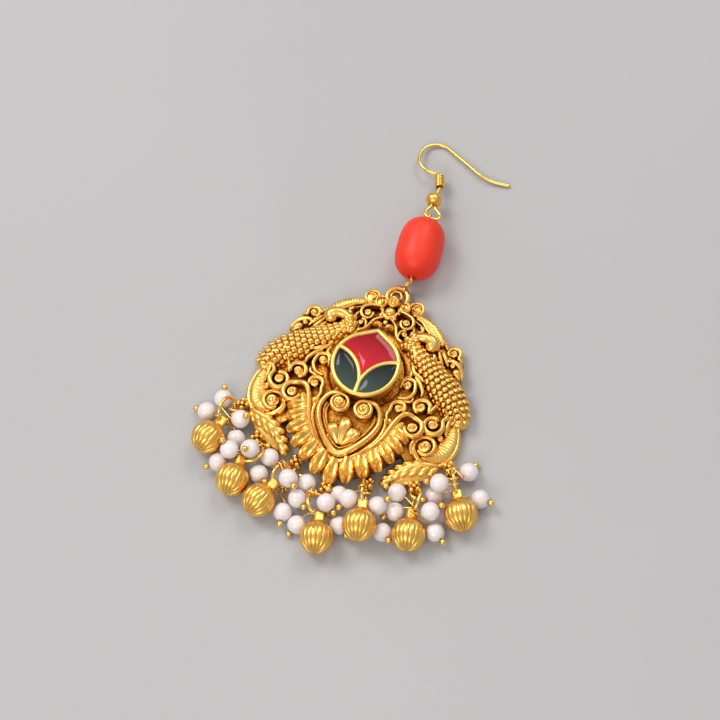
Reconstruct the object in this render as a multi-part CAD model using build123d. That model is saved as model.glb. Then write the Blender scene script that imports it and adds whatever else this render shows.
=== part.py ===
from build123d import *
import math
import os
from collections import namedtuple

# A forehead pendant lying on its back.  Millimetres, +Z up.
# Origin: on the casting's flat back, under the middle of the stone setting.
# +Y runs towards the hair hook, +X to the right, +Z out of the ornamented face.

# ---- driving dimensions -------------------------------------------------------------
running_gap = 0.05          # between pieces that are set into each other

ring_seam_turn = math.radians(130)   # where a wire ring closes on itself

# casting: its face is a shallow crown over a flat back
crown_height = 4.8          # plate thickness where the crown is highest
crown_y = -3.0              # the highest place, on the centre line
crown_edge_height = 1.2     # plate thickness at the crown's edge
crown_edge_reach = 20.0
ground_sink = 0.6           # background, below the crowned face
low_relief = 0.5            # heights of the ornament above the crowned face
middle_relief = 0.8
high_relief = 1.2
top_relief = 2.0
tallest_relief = 9.0

# dividers between the stones, right half
divider_arc = [(5.6, 1.9), (1.4, -0.5), (0.15, -5.9)]
divider_width = 0.5

# stone setting: a round cup with one pointed end, and the recess that it sits in
setting_radius = 6.3
setting_tip = 7.2           # from the middle to the point
setting_foot_radius = 5.5
setting_wall = 0.55
setting_floor_z = 6.15
setting_top_z = 8.0
recess_radius = 6.4
recess_z = 3.2
stone_stand = 0.1           # stones stand this far above the rim
stone_bevel = 0.4

# bead clusters
pearl_diameter = 3.4
pearl_hole_radius = 0.35
melon_diameter = 6.0
neck_radius = 0.9
neck_reach = 4.65           # from the melon bead's middle to the neck's end
neck_hole_reach = 3.9
neck_hole_radius = 0.55
ring_radius = 2.25
ring_wire_radius = 0.3
pin_wire_radius = 0.15
pin_head_radius = 0.6
pin_head_reach = 2.25       # from the pearl's middle to the ball's middle
pin_bend_reach = 1.85
pin_bend_radius = 0.2
pin_eye_radius = 0.6
pin_eye_wrap = 325.0        # degrees of the eye's turn

# loops under the casting, which carry the clusters
loop_z = 1.5
loop_radius = 0.9
loop_wire_radius = 0.3
granule_radius = 0.55
granule_spacing = 0.45
loop_root_radius = 0.45
loop_neck_radius = 0.35
loop_root_reach = 2.2       # how far each loop's stem runs into the casting
loop_root_z = 0.75

# top ring, coral bead and the wire that links them to the hook
bail_radius = 1.95
bail_wire_radius = 0.5
bail_y = 16.2
bail_z = 1.7
coral_diameter = 8.5
coral_length = 12.0
coral_end_radius = 3.8      # before rounding
coral_rounding = 2.7
coral_hole_radius = 0.7
coral_countersink = 1.3
coral_countersink_depth = 0.8
coral_centre = Vector(1.16, 25.7, 4.25)
coral_lean = 5.0            # degrees, upper end to the left
link_wire_radius = 0.2
link_lower_lead = 0.45      # the wire's lower bend, outside the coral bead
link_upper_lead = 0.9       # its upper bend, inside the bead
link_bend_ball = 0.22
lower_eye_centre = Vector(0.7, 18.02, 1.7)
lower_eye_radius = 0.8
upper_eye_radius = 0.62

# ear-wire style hook, bent in one flat plane that leans down to the floor
hook_wire_radius = 0.325
hook_plane = Plane(origin=(0, 0, 12.16), z_dir=(0.0752, 0.2454, 1))
hook_bow_radius = 3.25
coil_radius = 0.9
sleeve_bore = 0.4
hook_ball_radius = 1.5

# ---- tables -------------------------------------------------------------------------
Place = namedtuple("Place", "x y")

# the plate's edge, right half, from the top to the bottom
plate_edge = [
    Place(5.2, 14.6),
    Place(9.2, 12.3),
    Place(12.4, 9.2),
    Place(14.8, 5.6),
    Place(18.4, 1.2),
    Place(19.0, -3.6),
    Place(18.7, -8.8),
    Place(17.0, -12.8),
    Place(12.4, -16.4),
    Place(6.6, -18.2),
]
plate_top_y = 14.2
plate_bottom_y = -20.4

# spiral curls on the right half: outer radius, and height above the plate's crown
Curl = namedtuple("Curl", "x y radius raised")
curls = [
    Curl(4.25, 15.1, 1.45, low_relief),
    Curl(3.9, 10.9, 1.5, middle_relief),
    Curl(13.3, 8.8, 1.3, low_relief),
    Curl(14.9, 6.0, 1.3, low_relief),
    Curl(11.5, -3.85, 1.6, high_relief),
    Curl(14.4, -6.0, 1.9, high_relief),
    Curl(11.4, -8.3, 1.5, middle_relief),
    Curl(14.5, -9.8, 1.3, low_relief),
    Curl(2.28, -7.8, 1.5, top_relief),
]
curl_band_width = 0.55
curl_groove_width = 0.15
curl_backing_inset = 0.1

# round studs on the right half
Stud = namedtuple("Stud", "x y top_z radius")
stud_post_share = 0.85      # post radius over ball radius
studs = [
    Stud(4.57, 8.4, 4.5, 0.7),
    Stud(8.0, -0.5, 5.5, 0.9),
    Stud(7.9, -5.35, 5.5, 0.9),
    Stud(2.0, 14.3, 3.3, 1.15),
]
centre_studs = [
    Stud(0, 14.6, 3.6, 1.1),
    Stud(0, 16.0, 3.3, 0.95),
    Stud(0, 12.5, 3.3, 1.1),
]

# petals that fan out below the heart, right half, from the side to the middle
Petal = namedtuple("Petal", "tip_x tip_y base_x base_y tip_radius")
petals = [
    Petal(10.6, -11.0, 7.4, -9.8, 0.8),
    Petal(9.7, -13.2, 6.4, -11.3, 0.85),
    Petal(8.2, -15.7, 5.2, -12.8, 0.9),
    Petal(6.1, -17.6, 3.8, -14.4, 0.9),
    Petal(3.4, -19.4, 2.2, -15.8, 0.95),
    Petal(0.0, -20.9, 0.0, -16.8, 1.0),
]
petal_base_radius = 0.85

# peacock's body on the right half, from the neck to the tail's tip
Section = namedtuple("Section", "x y half_width top_z")
body_sections = [
    Section(6.2, 7.6, 1.9, 5.0),
    Section(8.3, 5.9, 2.4, 5.1),
    Section(10.5, 4.0, 2.7, 5.2),
    Section(13.0, 2.1, 3.0, 5.0),
    Section(15.3, 0.5, 2.9, 4.5),
    Section(17.0, -1.3, 2.4, 3.9),
    Section(18.1, -3.3, 1.6, 3.2),
    Section(18.6, -5.2, 0.5, 2.4),
]
body_axis_z = 1.6
neck_wire_radius = 1.05
neck_z = 4.3
neck_arc = [Place(6.3, 7.2), Place(8.6, 9.1), Place(10.1, 7.9)]
head_centre = Vector(9.7, 8.0, 4.3)
head_radius = 1.3

# heart below the stones
heart_lobe = Place(2.95, -9.1)
heart_lobe_radius = 3.05
heart_tip_y = -17.2
heart_rim = 1.1
heart_tip_radius = 0.25
heart_tip_inset_share = 1.6     # how much faster the tip draws in than the sides

# tapered bars of the bud inside the heart, right half
Bar = namedtuple("Bar", "x y radius end_x end_y end_radius")
bud_side = Bar(2.0, -11.4, 0.7, 0.2, -15.0, 0.4)
bud_middle = Bar(0.0, -10.6, 0.8, 0.0, -15.0, 0.5)

# broad flat ornament at the edge, right half
shoulder_arc = [Place(4.6, 14.3), Place(9.0, 11.7), Place(12.4, 8.4)]
shoulder_width = 2.2
outer_scroll_centre = Place(15.6, -9.0)
outer_scroll_radius = 3.9
outer_scroll_inner_radius = 2.6
leaf_lower_edge = [Place(17.8, -12.6), Place(14.8, -16.0), Place(9.3, -18.0)]
leaf_upper_edge = [Place(9.3, -18.0), Place(11.8, -14.2), Place(17.8, -12.6)]

# one row per bead cluster: the loop's hole and the granule beside it on the
# casting, the melon bead's middle, and how far the ring leans from upright
Cluster = namedtuple("Cluster", "loop_x loop_y granule_x granule_y bead_x bead_y bead_z lean")
clusters = [
    Cluster(-20.7, -13.4, -19.6, -12.0, -23.0, -20.3, 3.0, 24),
    Cluster(-15.6, -18.8, -14.9, -17.2, -16.1, -26.4, 3.0, -67),
    Cluster(-7.1, -21.0, -6.7, -19.3, -10.25, -28.6, 3.0, 40),
    Cluster(0.0, -24.3, 0.0, -22.5, 1.8, -31.9, 3.0, 45),
    Cluster(7.1, -21.0, 6.7, -19.3, 8.4, -27.8, 4.4, 6),
    Cluster(15.6, -18.8, 14.85, -17.3, 17.0, -26.4, 3.0, -20),
    Cluster(20.7, -13.4, 19.6, -12.0, 24.5, -20.1, 3.0, 0),
]

# one row per pearl: its cluster and middle, where the pin's ball end points
# (azimuth and elevation), and where on the ring the pin's eye grips it
Pearl = namedtuple("Pearl", "cluster x y z azimuth elevation grip")
pearls = [
    Pearl(1, -23.3, -12.1, 1.7, 104, 0, 270),
    Pearl(1, -25.3, -15.3, 1.7, 176, -17, 172),
    Pearl(1, -18.8, -15.1, 2.6, 20, 55, 290),
    Pearl(1, -18.4, -18.6, 1.7, -63, -25, 250),
    Pearl(2, -18.3, -21.6, 3.9, 150, 40, 240),
    Pearl(2, -19.9, -23.8, 1.8, 221, 0, 260),
    Pearl(2, -14.7, -20.5, 4.7, -110, 61, 40),
    Pearl(2, -12.2, -23.6, 1.7, -38, 20, 20),
    Pearl(3, -11.4, -20.1, 1.7, 120, 0, 60),
    Pearl(3, -6.4, -23.5, 4.2, -41, 21, 80),
    Pearl(3, -3.9, -26.1, 2.6, -36, 12, 250),
    Pearl(3, -5.7, -29.0, 1.7, -83, 0, 230),
    Pearl(4, -3.5, -22.6, 1.7, 143, -25, 30),
    Pearl(4, -2.5, -30.4, 1.7, -117, -25, 160),
    Pearl(4, 1.4, -25.6, 3.8, -35, -10, 60),
    Pearl(4, 4.6, -28.2, 1.7, -36, -2, 250),
    Pearl(5, 5.0, -23.8, 4.2, -118, -5, 120),
    Pearl(5, 2.7, -22.9, 1.7, 178, 28, 300),
    Pearl(5, 10.2, -23.3, 3.8, 45, 22, 240),
    Pearl(5, 12.3, -27.1, 1.7, -38, 20, 260),
    Pearl(6, 13.1, -22.8, 1.7, -133, 8, 260),
    Pearl(6, 12.3, -19.3, 1.7, 170, 10, 280),
    Pearl(6, 19.4, -21.5, 4.0, 44, 10, 170),
    Pearl(6, 21.1, -24.2, 1.7, -34, 0, 240),
    Pearl(7, 18.8, -17.9, 1.7, -137, 17, 260),
    Pearl(7, 19.3, -16.3, 4.8, 190, 0, 140),
    Pearl(7, 23.1, -11.7, 1.7, 70, -25, 10),
    Pearl(7, 26.6, -15.9, 1.7, -6, 13, 240),
]

# corners of the hook's centre line, from the tail to the small loop over the link,
# and the bend radius at each corner between the two ends
Corner = namedtuple("Corner", "x y bend")
hook_corners = [
    Corner(12.15, 44.45, 0),
    Corner(7.6, 44.07, 8.0),
    Corner(-5.65, 50.56, hook_bow_radius),
    Corner(-5.65, 42.05, hook_bow_radius),
    Corner(-0.7, 42.05, 0.8),
    Corner(0.3, 39.2, 2.0),
    Corner(0.15, 34.5, 1.2),
    Corner(-0.95, 32.15, 0.75),
    Corner(2.75, 32.15, 0.75),
    Corner(2.4, 33.4, 0.5),
    Corner(1.1, 34.35, 0),
]
hook_shank = hook_corners[5:7]    # the straight run that the ball is threaded on
coil_ends = [Place(-0.5, 41.5), Place(0.25, 39.35)]
hook_ball = Place(0.2, 36.24)
link_top = Place(0.85, 32.15)


# ---- casting ------------------------------------------------------------------------
crown_radius = ((crown_height - crown_edge_height) ** 2 + crown_edge_reach ** 2) / (
    2 * (crown_height - crown_edge_height)
)


def crown_z(x, y):
    return crown_height - crown_radius + math.sqrt(crown_radius ** 2 - x ** 2 - (y - crown_y) ** 2)


def relief(outlines, raised):
    """Outlines stood up from the flat back and cut off by the crown, raised by so much."""
    crown = Pos(0, crown_y, crown_height - crown_radius) * Sphere(crown_radius + raised)
    return extrude(Sketch() + outlines, tallest_relief, dir=(0, 0, 1)) & crown


def both_sides(half):
    return half + [mirror(shape, about=Plane.YZ) for shape in half]


def solid_union(pieces):
    first, *others = pieces
    return first.fuse(*others)


def ground_outline():
    right = [(p.x, p.y) for p in plate_edge]
    left = [(-x, y) for x, y in reversed(right)]
    edge = Spline((0, plate_top_y), *right, (0, plate_bottom_y), *left, periodic=True)
    return make_face(edge)


def curl_band(row):
    return Pos(row.x, row.y) * (Circle(row.radius) - Circle(row.radius - curl_band_width))


def curl_ball(row):
    radius = row.radius - curl_band_width - curl_groove_width
    return Pos(row.x, row.y, crown_z(row.x, row.y) + row.raised - radius) * Sphere(radius)


def stud(row):
    ball_z = row.top_z - row.radius
    post = Pos(row.x, row.y) * Cylinder(
        stud_post_share * row.radius, ball_z, align=(Align.CENTER, Align.CENTER, Align.MIN)
    )
    return post + Pos(row.x, row.y, ball_z) * Sphere(row.radius)


def tapered_bar(a, a_radius, b, b_radius):
    """Flat bar with round ends, wider at one end than at the other."""
    ends = (Pos(a.x, a.y) * Circle(a_radius)).edges() + (Pos(b.x, b.y) * Circle(b_radius)).edges()
    return make_hull(ends)


def petal_outline(row):
    tip = Place(row.tip_x, row.tip_y)
    base = Place(row.base_x, row.base_y)
    return tapered_bar(tip, row.tip_radius, base, petal_base_radius)


def heart_outline(inset):
    tip = Place(0, heart_tip_y + heart_tip_inset_share * inset)
    lobe = tapered_bar(heart_lobe, heart_lobe_radius - inset, tip, heart_tip_radius)
    return lobe + mirror(lobe, about=Plane.YZ)


def bar(row):
    start, end = Place(row.x, row.y), Place(row.end_x, row.end_y)
    return tapered_bar(start, row.radius, end, row.end_radius)


def heart_bud():
    return both_sides([bar(bud_side)]) + [bar(bud_middle)]


def shoulder_band():
    return trace(ThreePointArc(*shoulder_arc), shoulder_width)


def outer_scroll():
    ring = Circle(outer_scroll_radius) - Circle(outer_scroll_inner_radius)
    return Pos(*outer_scroll_centre) * ring


def side_leaf():
    return make_face([ThreePointArc(*leaf_lower_edge), ThreePointArc(*leaf_upper_edge)])


def relief_layers():
    """The casting's flat outlines, gathered by their height above the crown."""
    rims = {raised: [] for raised in (low_relief, middle_relief, high_relief, top_relief)}
    for row in curls:
        rims[row.raised].append(curl_band(row))
    rims[low_relief] += [outer_scroll(), side_leaf(), shoulder_band()]
    rims[middle_relief] += [petal_outline(row) for row in petals]
    layers = {raised: both_sides(outlines) for raised, outlines in rims.items()}
    layers[high_relief].append(heart_outline(0) - heart_outline(heart_rim))
    layers[middle_relief] += heart_bud()
    return [relief(outlines, raised) for raised, outlines in layers.items()]


def curl_backing():
    return relief(both_sides([Pos(r.x, r.y) * Circle(r.radius - curl_backing_inset) for r in curls]), 0)


def peacock_body():
    rows = body_sections
    faces = []
    for i, row in enumerate(rows):
        before = rows[max(i - 1, 0)]
        after = rows[min(i + 1, len(rows) - 1)]
        along = Vector(after.x - before.x, after.y - before.y, 0)
        across = along.cross(Vector(0, 0, 1))
        plane = Plane(origin=(row.x, row.y, body_axis_z), x_dir=across, z_dir=along)
        faces.append(plane * Ellipse(row.half_width, row.top_z - body_axis_z))
    return loft(faces)


def peacock_neck():
    path = ThreePointArc(*[(p.x, p.y, neck_z) for p in neck_arc])
    section = Plane(origin=path @ 0, z_dir=path % 0) * Circle(neck_wire_radius)
    shoulder = Pos(*(path @ 0)) * Sphere(neck_wire_radius)
    return sweep(section, path) + shoulder + Pos(*head_centre) * Sphere(head_radius)


def bail():
    return Pos(0, bail_y, bail_z) * Torus(bail_radius, bail_wire_radius)


def setting_outline(radius):
    """Circle with a pointed end, whose sides leave the circle along its tangents."""
    tip = radius * setting_tip / setting_radius
    half_angle = math.acos(radius / tip)
    side = Vector(radius * math.sin(half_angle), radius * math.cos(half_angle))
    cap = Polygon((0, tip), (-side.X, side.Y), (0, 0), (side.X, side.Y), align=None)
    return Circle(radius) + cap


def stone_recess():
    return Pos(0, 0, recess_z) * extrude(setting_outline(recess_radius), tallest_relief)


def rod(start, end, radius):
    """Round rod between two points."""
    along = end - start
    section = Plane(origin=start, z_dir=along) * Circle(radius)
    return extrude(section, along.length)


def wire_ring(centre, axis, radius, wire_radius, far_side):
    """Round ring of wire; far_side points away from what joins it."""
    across = (far_side - axis * far_side.dot(axis)).normalized()
    seam = across * math.cos(ring_seam_turn) + axis.cross(across) * math.sin(ring_seam_turn)
    section = Plane(origin=centre + seam * radius, z_dir=axis.cross(seam)) * Circle(wire_radius)
    return revolve(section, Axis(centre, axis))


def hanging_loop(row, frame):
    """Four granules on the casting's edge and the wire loop that they carry."""
    granule = Vector(row.granule_x, row.granule_y, loop_z)
    outward = (frame.hole - granule).normalized()
    sideways = Vector(-outward.Y, outward.X, 0)
    corners = [(along, aside) for along in (-1, 1) for aside in (-1, 1)]
    balls = [
        Pos(*(granule + (outward * along + sideways * aside) * granule_spacing))
        * Sphere(granule_radius)
        for along, aside in corners
    ]
    root = granule - outward * loop_root_reach - Vector(0, 0, loop_z - loop_root_z)
    axis = frame.tangent_at_hole
    near_side = frame.hole - (outward - axis * outward.dot(axis)).normalized() * loop_radius
    loop = wire_ring(frame.hole, axis, loop_radius, loop_wire_radius, outward)
    root_rod = rod(root, granule, loop_root_radius)
    neck_rod = rod(granule, near_side, loop_neck_radius)
    return balls + [loop, root_rod, neck_rod]


def pendant_casting(frames):
    ornament = [[curl_backing()], [bail()]] + [[layer] for layer in relief_layers()]
    ornament += [
        both_sides([peacock_body()]),
        both_sides([peacock_neck()]),
        both_sides([stud(row) for row in studs]),
        both_sides([curl_ball(row) for row in curls]),
        [stud(row) for row in centre_studs],
    ]
    casting = relief([ground_outline()], -ground_sink)
    for pieces in ornament:
        casting = casting.fuse(*pieces)
    casting -= stone_recess()
    for row, frame in zip(clusters, frames):
        casting = casting.fuse(*hanging_loop(row, frame))
    above_floor = Pos(0, 0, tallest_relief / 2) * Box(80, 80, tallest_relief)
    return casting & above_floor


# ---- stone setting and stones -------------------------------------------------------
def setting_dividers():
    strip = trace(ThreePointArc(*divider_arc), divider_width)
    return strip + mirror(strip, about=Plane.YZ)


def stone_places():
    """The three pockets of the cup, seen from above: one towards +Y, one on each side."""
    pockets = (setting_outline(setting_radius - setting_wall) - setting_dividers()).faces()
    large = [face for face in pockets if face.area > 1.0]
    upper = max(large, key=lambda face: face.center().Y)
    left = min(large, key=lambda face: face.center().X)
    right = max(large, key=lambda face: face.center().X)
    return {"red_stone": upper, "green_stone_left": left, "green_stone_right": right}


def stone_setting(places):
    foot_z = recess_z + running_gap
    foot = Pos(0, 0, foot_z) * setting_outline(setting_foot_radius)
    top = Pos(0, 0, setting_top_z) * setting_outline(setting_radius)
    cup = loft([foot.face(), top.face()], ruled=True)
    for place in places.values():
        cup -= Pos(0, 0, setting_floor_z) * extrude(place, setting_top_z)
    return cup


def stone(place):
    base = offset(place, -running_gap, kind=Kind.INTERSECTION)
    floor_z = setting_floor_z + running_gap
    straight = setting_top_z + stone_stand - stone_bevel - floor_z
    girdle = Pos(0, 0, floor_z) * extrude(base, straight)
    return girdle + Pos(0, 0, floor_z + straight) * extrude(base, stone_bevel, taper=45)


# ---- bead clusters ------------------------------------------------------------------
class RingFrame:
    """Where one cluster's jump ring lies: it threads the loop's hole and the bead's neck."""

    def __init__(self, row):
        self.hole = Vector(row.loop_x, row.loop_y, loop_z)
        self.bead = Vector(row.bead_x, row.bead_y, row.bead_z)
        self.neck_way = Vector(row.loop_x - row.bead_x, row.loop_y - row.bead_y, 0).normalized()
        self.neck_hole = self.bead + self.neck_way * neck_hole_reach
        chord = self.neck_hole - self.hole
        self.along = chord.normalized()
        upright = (Vector(0, 0, 1) - self.along * self.along.Z).normalized()
        lean = math.radians(row.lean)
        sideways = self.along.cross(upright)
        self.rise = upright * math.cos(lean) + sideways * math.sin(lean)
        offset_squared = ring_radius ** 2 - (chord.length / 2) ** 2
        self.offset = math.sqrt(max(offset_squared, 0))
        self.centre = (self.hole + self.neck_hole) * 0.5 + self.rise * self.offset
        self.axis = self.along.cross(self.rise)
        self.hole_angle = -math.degrees(math.asin(self.offset / ring_radius))
        self.tangent_at_hole = self.tangent(self.hole_angle)

    def point(self, angle):
        turn = math.radians(angle)
        return self.centre + (self.rise * math.sin(turn) - self.along * math.cos(turn)) * ring_radius

    def tangent(self, angle):
        turn = math.radians(angle)
        return self.rise * math.cos(turn) + self.along * math.sin(turn)

    def torus(self, wire_radius):
        return wire_ring(self.centre, self.axis, ring_radius, wire_radius, self.along * -1)


def melon_bead(frame):
    neck = rod(frame.bead, frame.bead + frame.neck_way * neck_reach, neck_radius)
    across = frame.tangent(180 - frame.hole_angle) * melon_diameter / 2
    hole = rod(frame.neck_hole - across, frame.neck_hole + across, neck_hole_radius)
    return Pos(*frame.bead) * Sphere(melon_diameter / 2) + neck - hole


def pin_direction(row):
    azimuth = math.radians(row.azimuth)
    elevation = math.radians(row.elevation)
    level = math.cos(elevation)
    return Vector(level * math.cos(azimuth), level * math.sin(azimuth), math.sin(elevation))


def pearl_ball():
    """Pearl drilled along Z, turned from its half section."""
    radius = pearl_diameter / 2
    end = math.sqrt(radius ** 2 - pearl_hole_radius ** 2)
    bulge = ThreePointArc((pearl_hole_radius, -end), (radius, 0), (pearl_hole_radius, end))
    section = make_face([bulge, Line((pearl_hole_radius, end), (pearl_hole_radius, -end))])
    return revolve(Plane.XZ * section, Axis.Z)


def pearl(row, ball):
    return Plane(origin=(row.x, row.y, row.z), z_dir=pin_direction(row)) * ball


def pearl_pin(row, frame):
    """Ball-headed wire through a pearl, bent over and turned round the ring into an eye."""
    middle = Vector(row.x, row.y, row.z)
    way = pin_direction(row)
    head = middle + way * pin_head_reach
    bend = middle - way * pin_bend_reach
    grip = frame.point(row.grip)
    leg = bend - grip
    leg_way = leg.normalized()
    tangent = frame.tangent(row.grip)
    eye_axis = (tangent - leg_way * tangent.dot(leg_way)).normalized()
    side_way = eye_axis.cross(leg_way)
    start_turn = math.acos(pin_eye_radius / leg.length)

    def around_eye(turn):
        return grip + (leg_way * math.cos(turn) + side_way * math.sin(turn)) * pin_eye_radius

    turns = [start_turn + math.radians(pin_eye_wrap) * part for part in (0, 0.5, 1)]
    start, far, end = [around_eye(turn) for turn in turns]
    leg_line = FilletPolyline(head, bend, start, radius=pin_bend_radius)
    path = Wire([*leg_line.edges(), *ThreePointArc(start, far, end).edges()])
    section = Plane(origin=head, z_dir=way * -1) * Circle(pin_wire_radius)
    head_plane = Plane(origin=head, x_dir=way, z_dir=way.cross(Vector(0.3, 0.2, 1)))
    return sweep(section, path) + head_plane * Sphere(pin_head_radius)


# ---- coral bead, link wire and hook -------------------------------------------------
def along_coral(distance):
    """A point on the coral bead's axis, so far above its middle."""
    lean = math.radians(coral_lean)
    return coral_centre + Vector(-math.sin(lean), math.cos(lean), 0) * distance


def coral_bead():
    half_length = coral_length / 2
    side = ThreePointArc(
        (coral_end_radius, -half_length), (coral_diameter / 2, 0), (coral_end_radius, half_length)
    )
    back = Polyline(
        (coral_end_radius, half_length), (0, half_length), (0, -half_length),
        (coral_end_radius, -half_length),
    )
    profile = make_face([side, back])
    corners = profile.vertices().filter_by(lambda v: v.X > 1)
    barrel = revolve(fillet(corners, coral_rounding), Axis.Y)
    bore = Rot(X=90) * Cylinder(coral_hole_radius, coral_length + 1)
    cone = Cone(coral_countersink, coral_hole_radius, coral_countersink_depth)
    mid_depth = half_length - coral_countersink_depth / 2
    upper = Pos(0, mid_depth, 0) * Rot(X=90) * cone
    lower = Pos(0, -mid_depth, 0) * Rot(X=-90) * cone
    return Pos(*coral_centre) * Rot(Z=coral_lean) * (barrel - bore - upper - lower)


def hook_point(x, y):
    """The point of the hook's leaning plane above a place on the floor."""
    origin = hook_plane.origin
    normal = hook_plane.z_dir
    return Vector(x, y, origin.Z - (normal.X * x + normal.Y * y) / normal.Z)


def link_eye(centre, radius, away):
    return wire_ring(centre, Vector(1, 0, 0), radius, link_wire_radius, away)


def bead_wire():
    """Wire through the coral bead, with an eye at each end."""
    upper_eye = hook_point(link_top.x, link_top.y)
    half_length = coral_length / 2
    route = [
        lower_eye_centre + Vector(0, lower_eye_radius, 0),
        along_coral(-half_length - link_lower_lead),
        along_coral(half_length - link_upper_lead),
        upper_eye - Vector(0, upper_eye_radius, 0),
    ]
    pieces = [
        link_eye(lower_eye_centre, lower_eye_radius, Vector(0, -1, 0)),
        link_eye(upper_eye, upper_eye_radius, Vector(0, 1, 0)),
    ]
    for start, end in zip(route, route[1:]):
        pieces.append(rod(start, end, link_wire_radius))
        pieces.append(Pos(*end) * Sphere(link_bend_ball))
    return solid_union(pieces)


def hook_wire():
    flat = [hook_plane.to_local_coords(hook_point(c.x, c.y)) for c in hook_corners]
    path = FilletPolyline(*[(p.X, p.Y) for p in flat], radius=[c.bend for c in hook_corners[1:-1]])
    path = hook_plane * path
    return sweep(Plane(origin=path @ 0, z_dir=path % 0) * Circle(hook_wire_radius), path)


def hook_coil():
    start, end = [hook_point(p.x, p.y) for p in coil_ends]
    return rod(start, end, coil_radius) - rod(start, end, sleeve_bore)


def hook_ball_bead():
    centre = hook_point(hook_ball.x, hook_ball.y)
    above, below = [hook_point(c.x, c.y) for c in hook_shank]
    return Pos(*centre) * Sphere(hook_ball_radius) - rod(below, above, sleeve_bore)


# ---- pieces -------------------------------------------------------------------------
frames = [RingFrame(row) for row in clusters]
places = stone_places()
ball = pearl_ball()

nodes = {
    "pendant_casting": pendant_casting(frames),
    "stone_setting": stone_setting(places),
    "coral_bead": coral_bead(),
    "bead_wire": bead_wire(),
    "hook_wire": hook_wire(),
    "hook_coil": hook_coil(),
    "hook_ball": hook_ball_bead(),
}
for name, place in places.items():
    nodes[name] = stone(place)
for number, frame in enumerate(frames, start=1):
    rows = [row for row in pearls if row.cluster == number]
    nodes[f"jump_ring_{number}"] = frame.torus(ring_wire_radius)
    nodes[f"melon_bead_{number}"] = melon_bead(frame)
    nodes[f"pearls_{number}"] = Compound([pearl(row, ball).solid() for row in rows])
    nodes[f"pearl_pins_{number}"] = Compound([pearl_pin(row, frame).solid() for row in rows])

os.makedirs("parts", exist_ok=True)
for name, shape in nodes.items():
    export_step(shape, f"parts/{name}.step")
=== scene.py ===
import math
from collections import namedtuple

import bpy
import numpy as np
from mathutils import Matrix, Vector


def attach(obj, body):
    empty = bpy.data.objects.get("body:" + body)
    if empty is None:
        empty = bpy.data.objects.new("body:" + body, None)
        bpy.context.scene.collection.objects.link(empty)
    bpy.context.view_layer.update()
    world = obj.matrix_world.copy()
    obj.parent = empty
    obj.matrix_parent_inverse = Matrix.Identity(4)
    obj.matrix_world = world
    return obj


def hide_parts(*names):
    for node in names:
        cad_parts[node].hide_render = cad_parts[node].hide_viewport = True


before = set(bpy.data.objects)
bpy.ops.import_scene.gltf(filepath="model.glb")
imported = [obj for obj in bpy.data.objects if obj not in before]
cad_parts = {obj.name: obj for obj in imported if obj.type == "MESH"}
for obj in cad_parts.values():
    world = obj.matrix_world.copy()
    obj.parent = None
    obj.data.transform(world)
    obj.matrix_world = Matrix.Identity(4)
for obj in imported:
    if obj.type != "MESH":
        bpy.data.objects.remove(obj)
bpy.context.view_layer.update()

# Everything below is worked out in millimetres, and becomes metres when a piece is made.
# The origin is on the casting's flat back, under the middle of the stone setting.
MM = 0.001
UP = np.array([0.0, 0.0, 1.0])
QUARTER = math.pi / 2

# ---- sizes that the solid model also has
CROWN_HEIGHT = 4.8
CROWN_Y = -3.0
CROWN_RADIUS = 57.36
GROUND_SINK = 0.45
SETTING_RADIUS = 6.3
SETTING_TIP = 7.2
SETTING_FOOT = 5.5
SETTING_WALL = 0.55
SETTING_FOOT_Z = 3.25
SETTING_FLOOR_Z = 6.15
SETTING_TOP_Z = 8.0
RECESS_Z = 3.2
RECESS_RADIUS = 6.7
LOOP_Z = 1.5
LOOP_RADIUS = 0.9
LOOP_WIRE = 0.3
PEARL_RADIUS = 1.7
MELON_RADIUS = 3.0
NECK_HOLE_REACH = 3.9
RING_RADIUS = 2.25

Cluster = namedtuple("Cluster", "loop_x loop_y granule_x granule_y bead_x bead_y bead_z lean")
CLUSTERS = [Cluster(*row) for row in [
    (-20.7, -13.4, -19.6, -12, -23, -20.3, 3, 24),
    (-15.6, -18.8, -14.9, -17.2, -16.1, -26.4, 3, -67),
    (-7.1, -21, -6.7, -19.3, -10.25, -28.6, 3, 40),
    (0, -24.3, 0, -22.5, 1.8, -31.9, 3, 45),
    (7.1, -21, 6.7, -19.3, 8.4, -27.8, 4.4, 6),
    (15.6, -18.8, 14.85, -17.3, 17, -26.4, 3, -20),
    (20.7, -13.4, 19.6, -12, 24.5, -20.1, 3, 0),
]]

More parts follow.
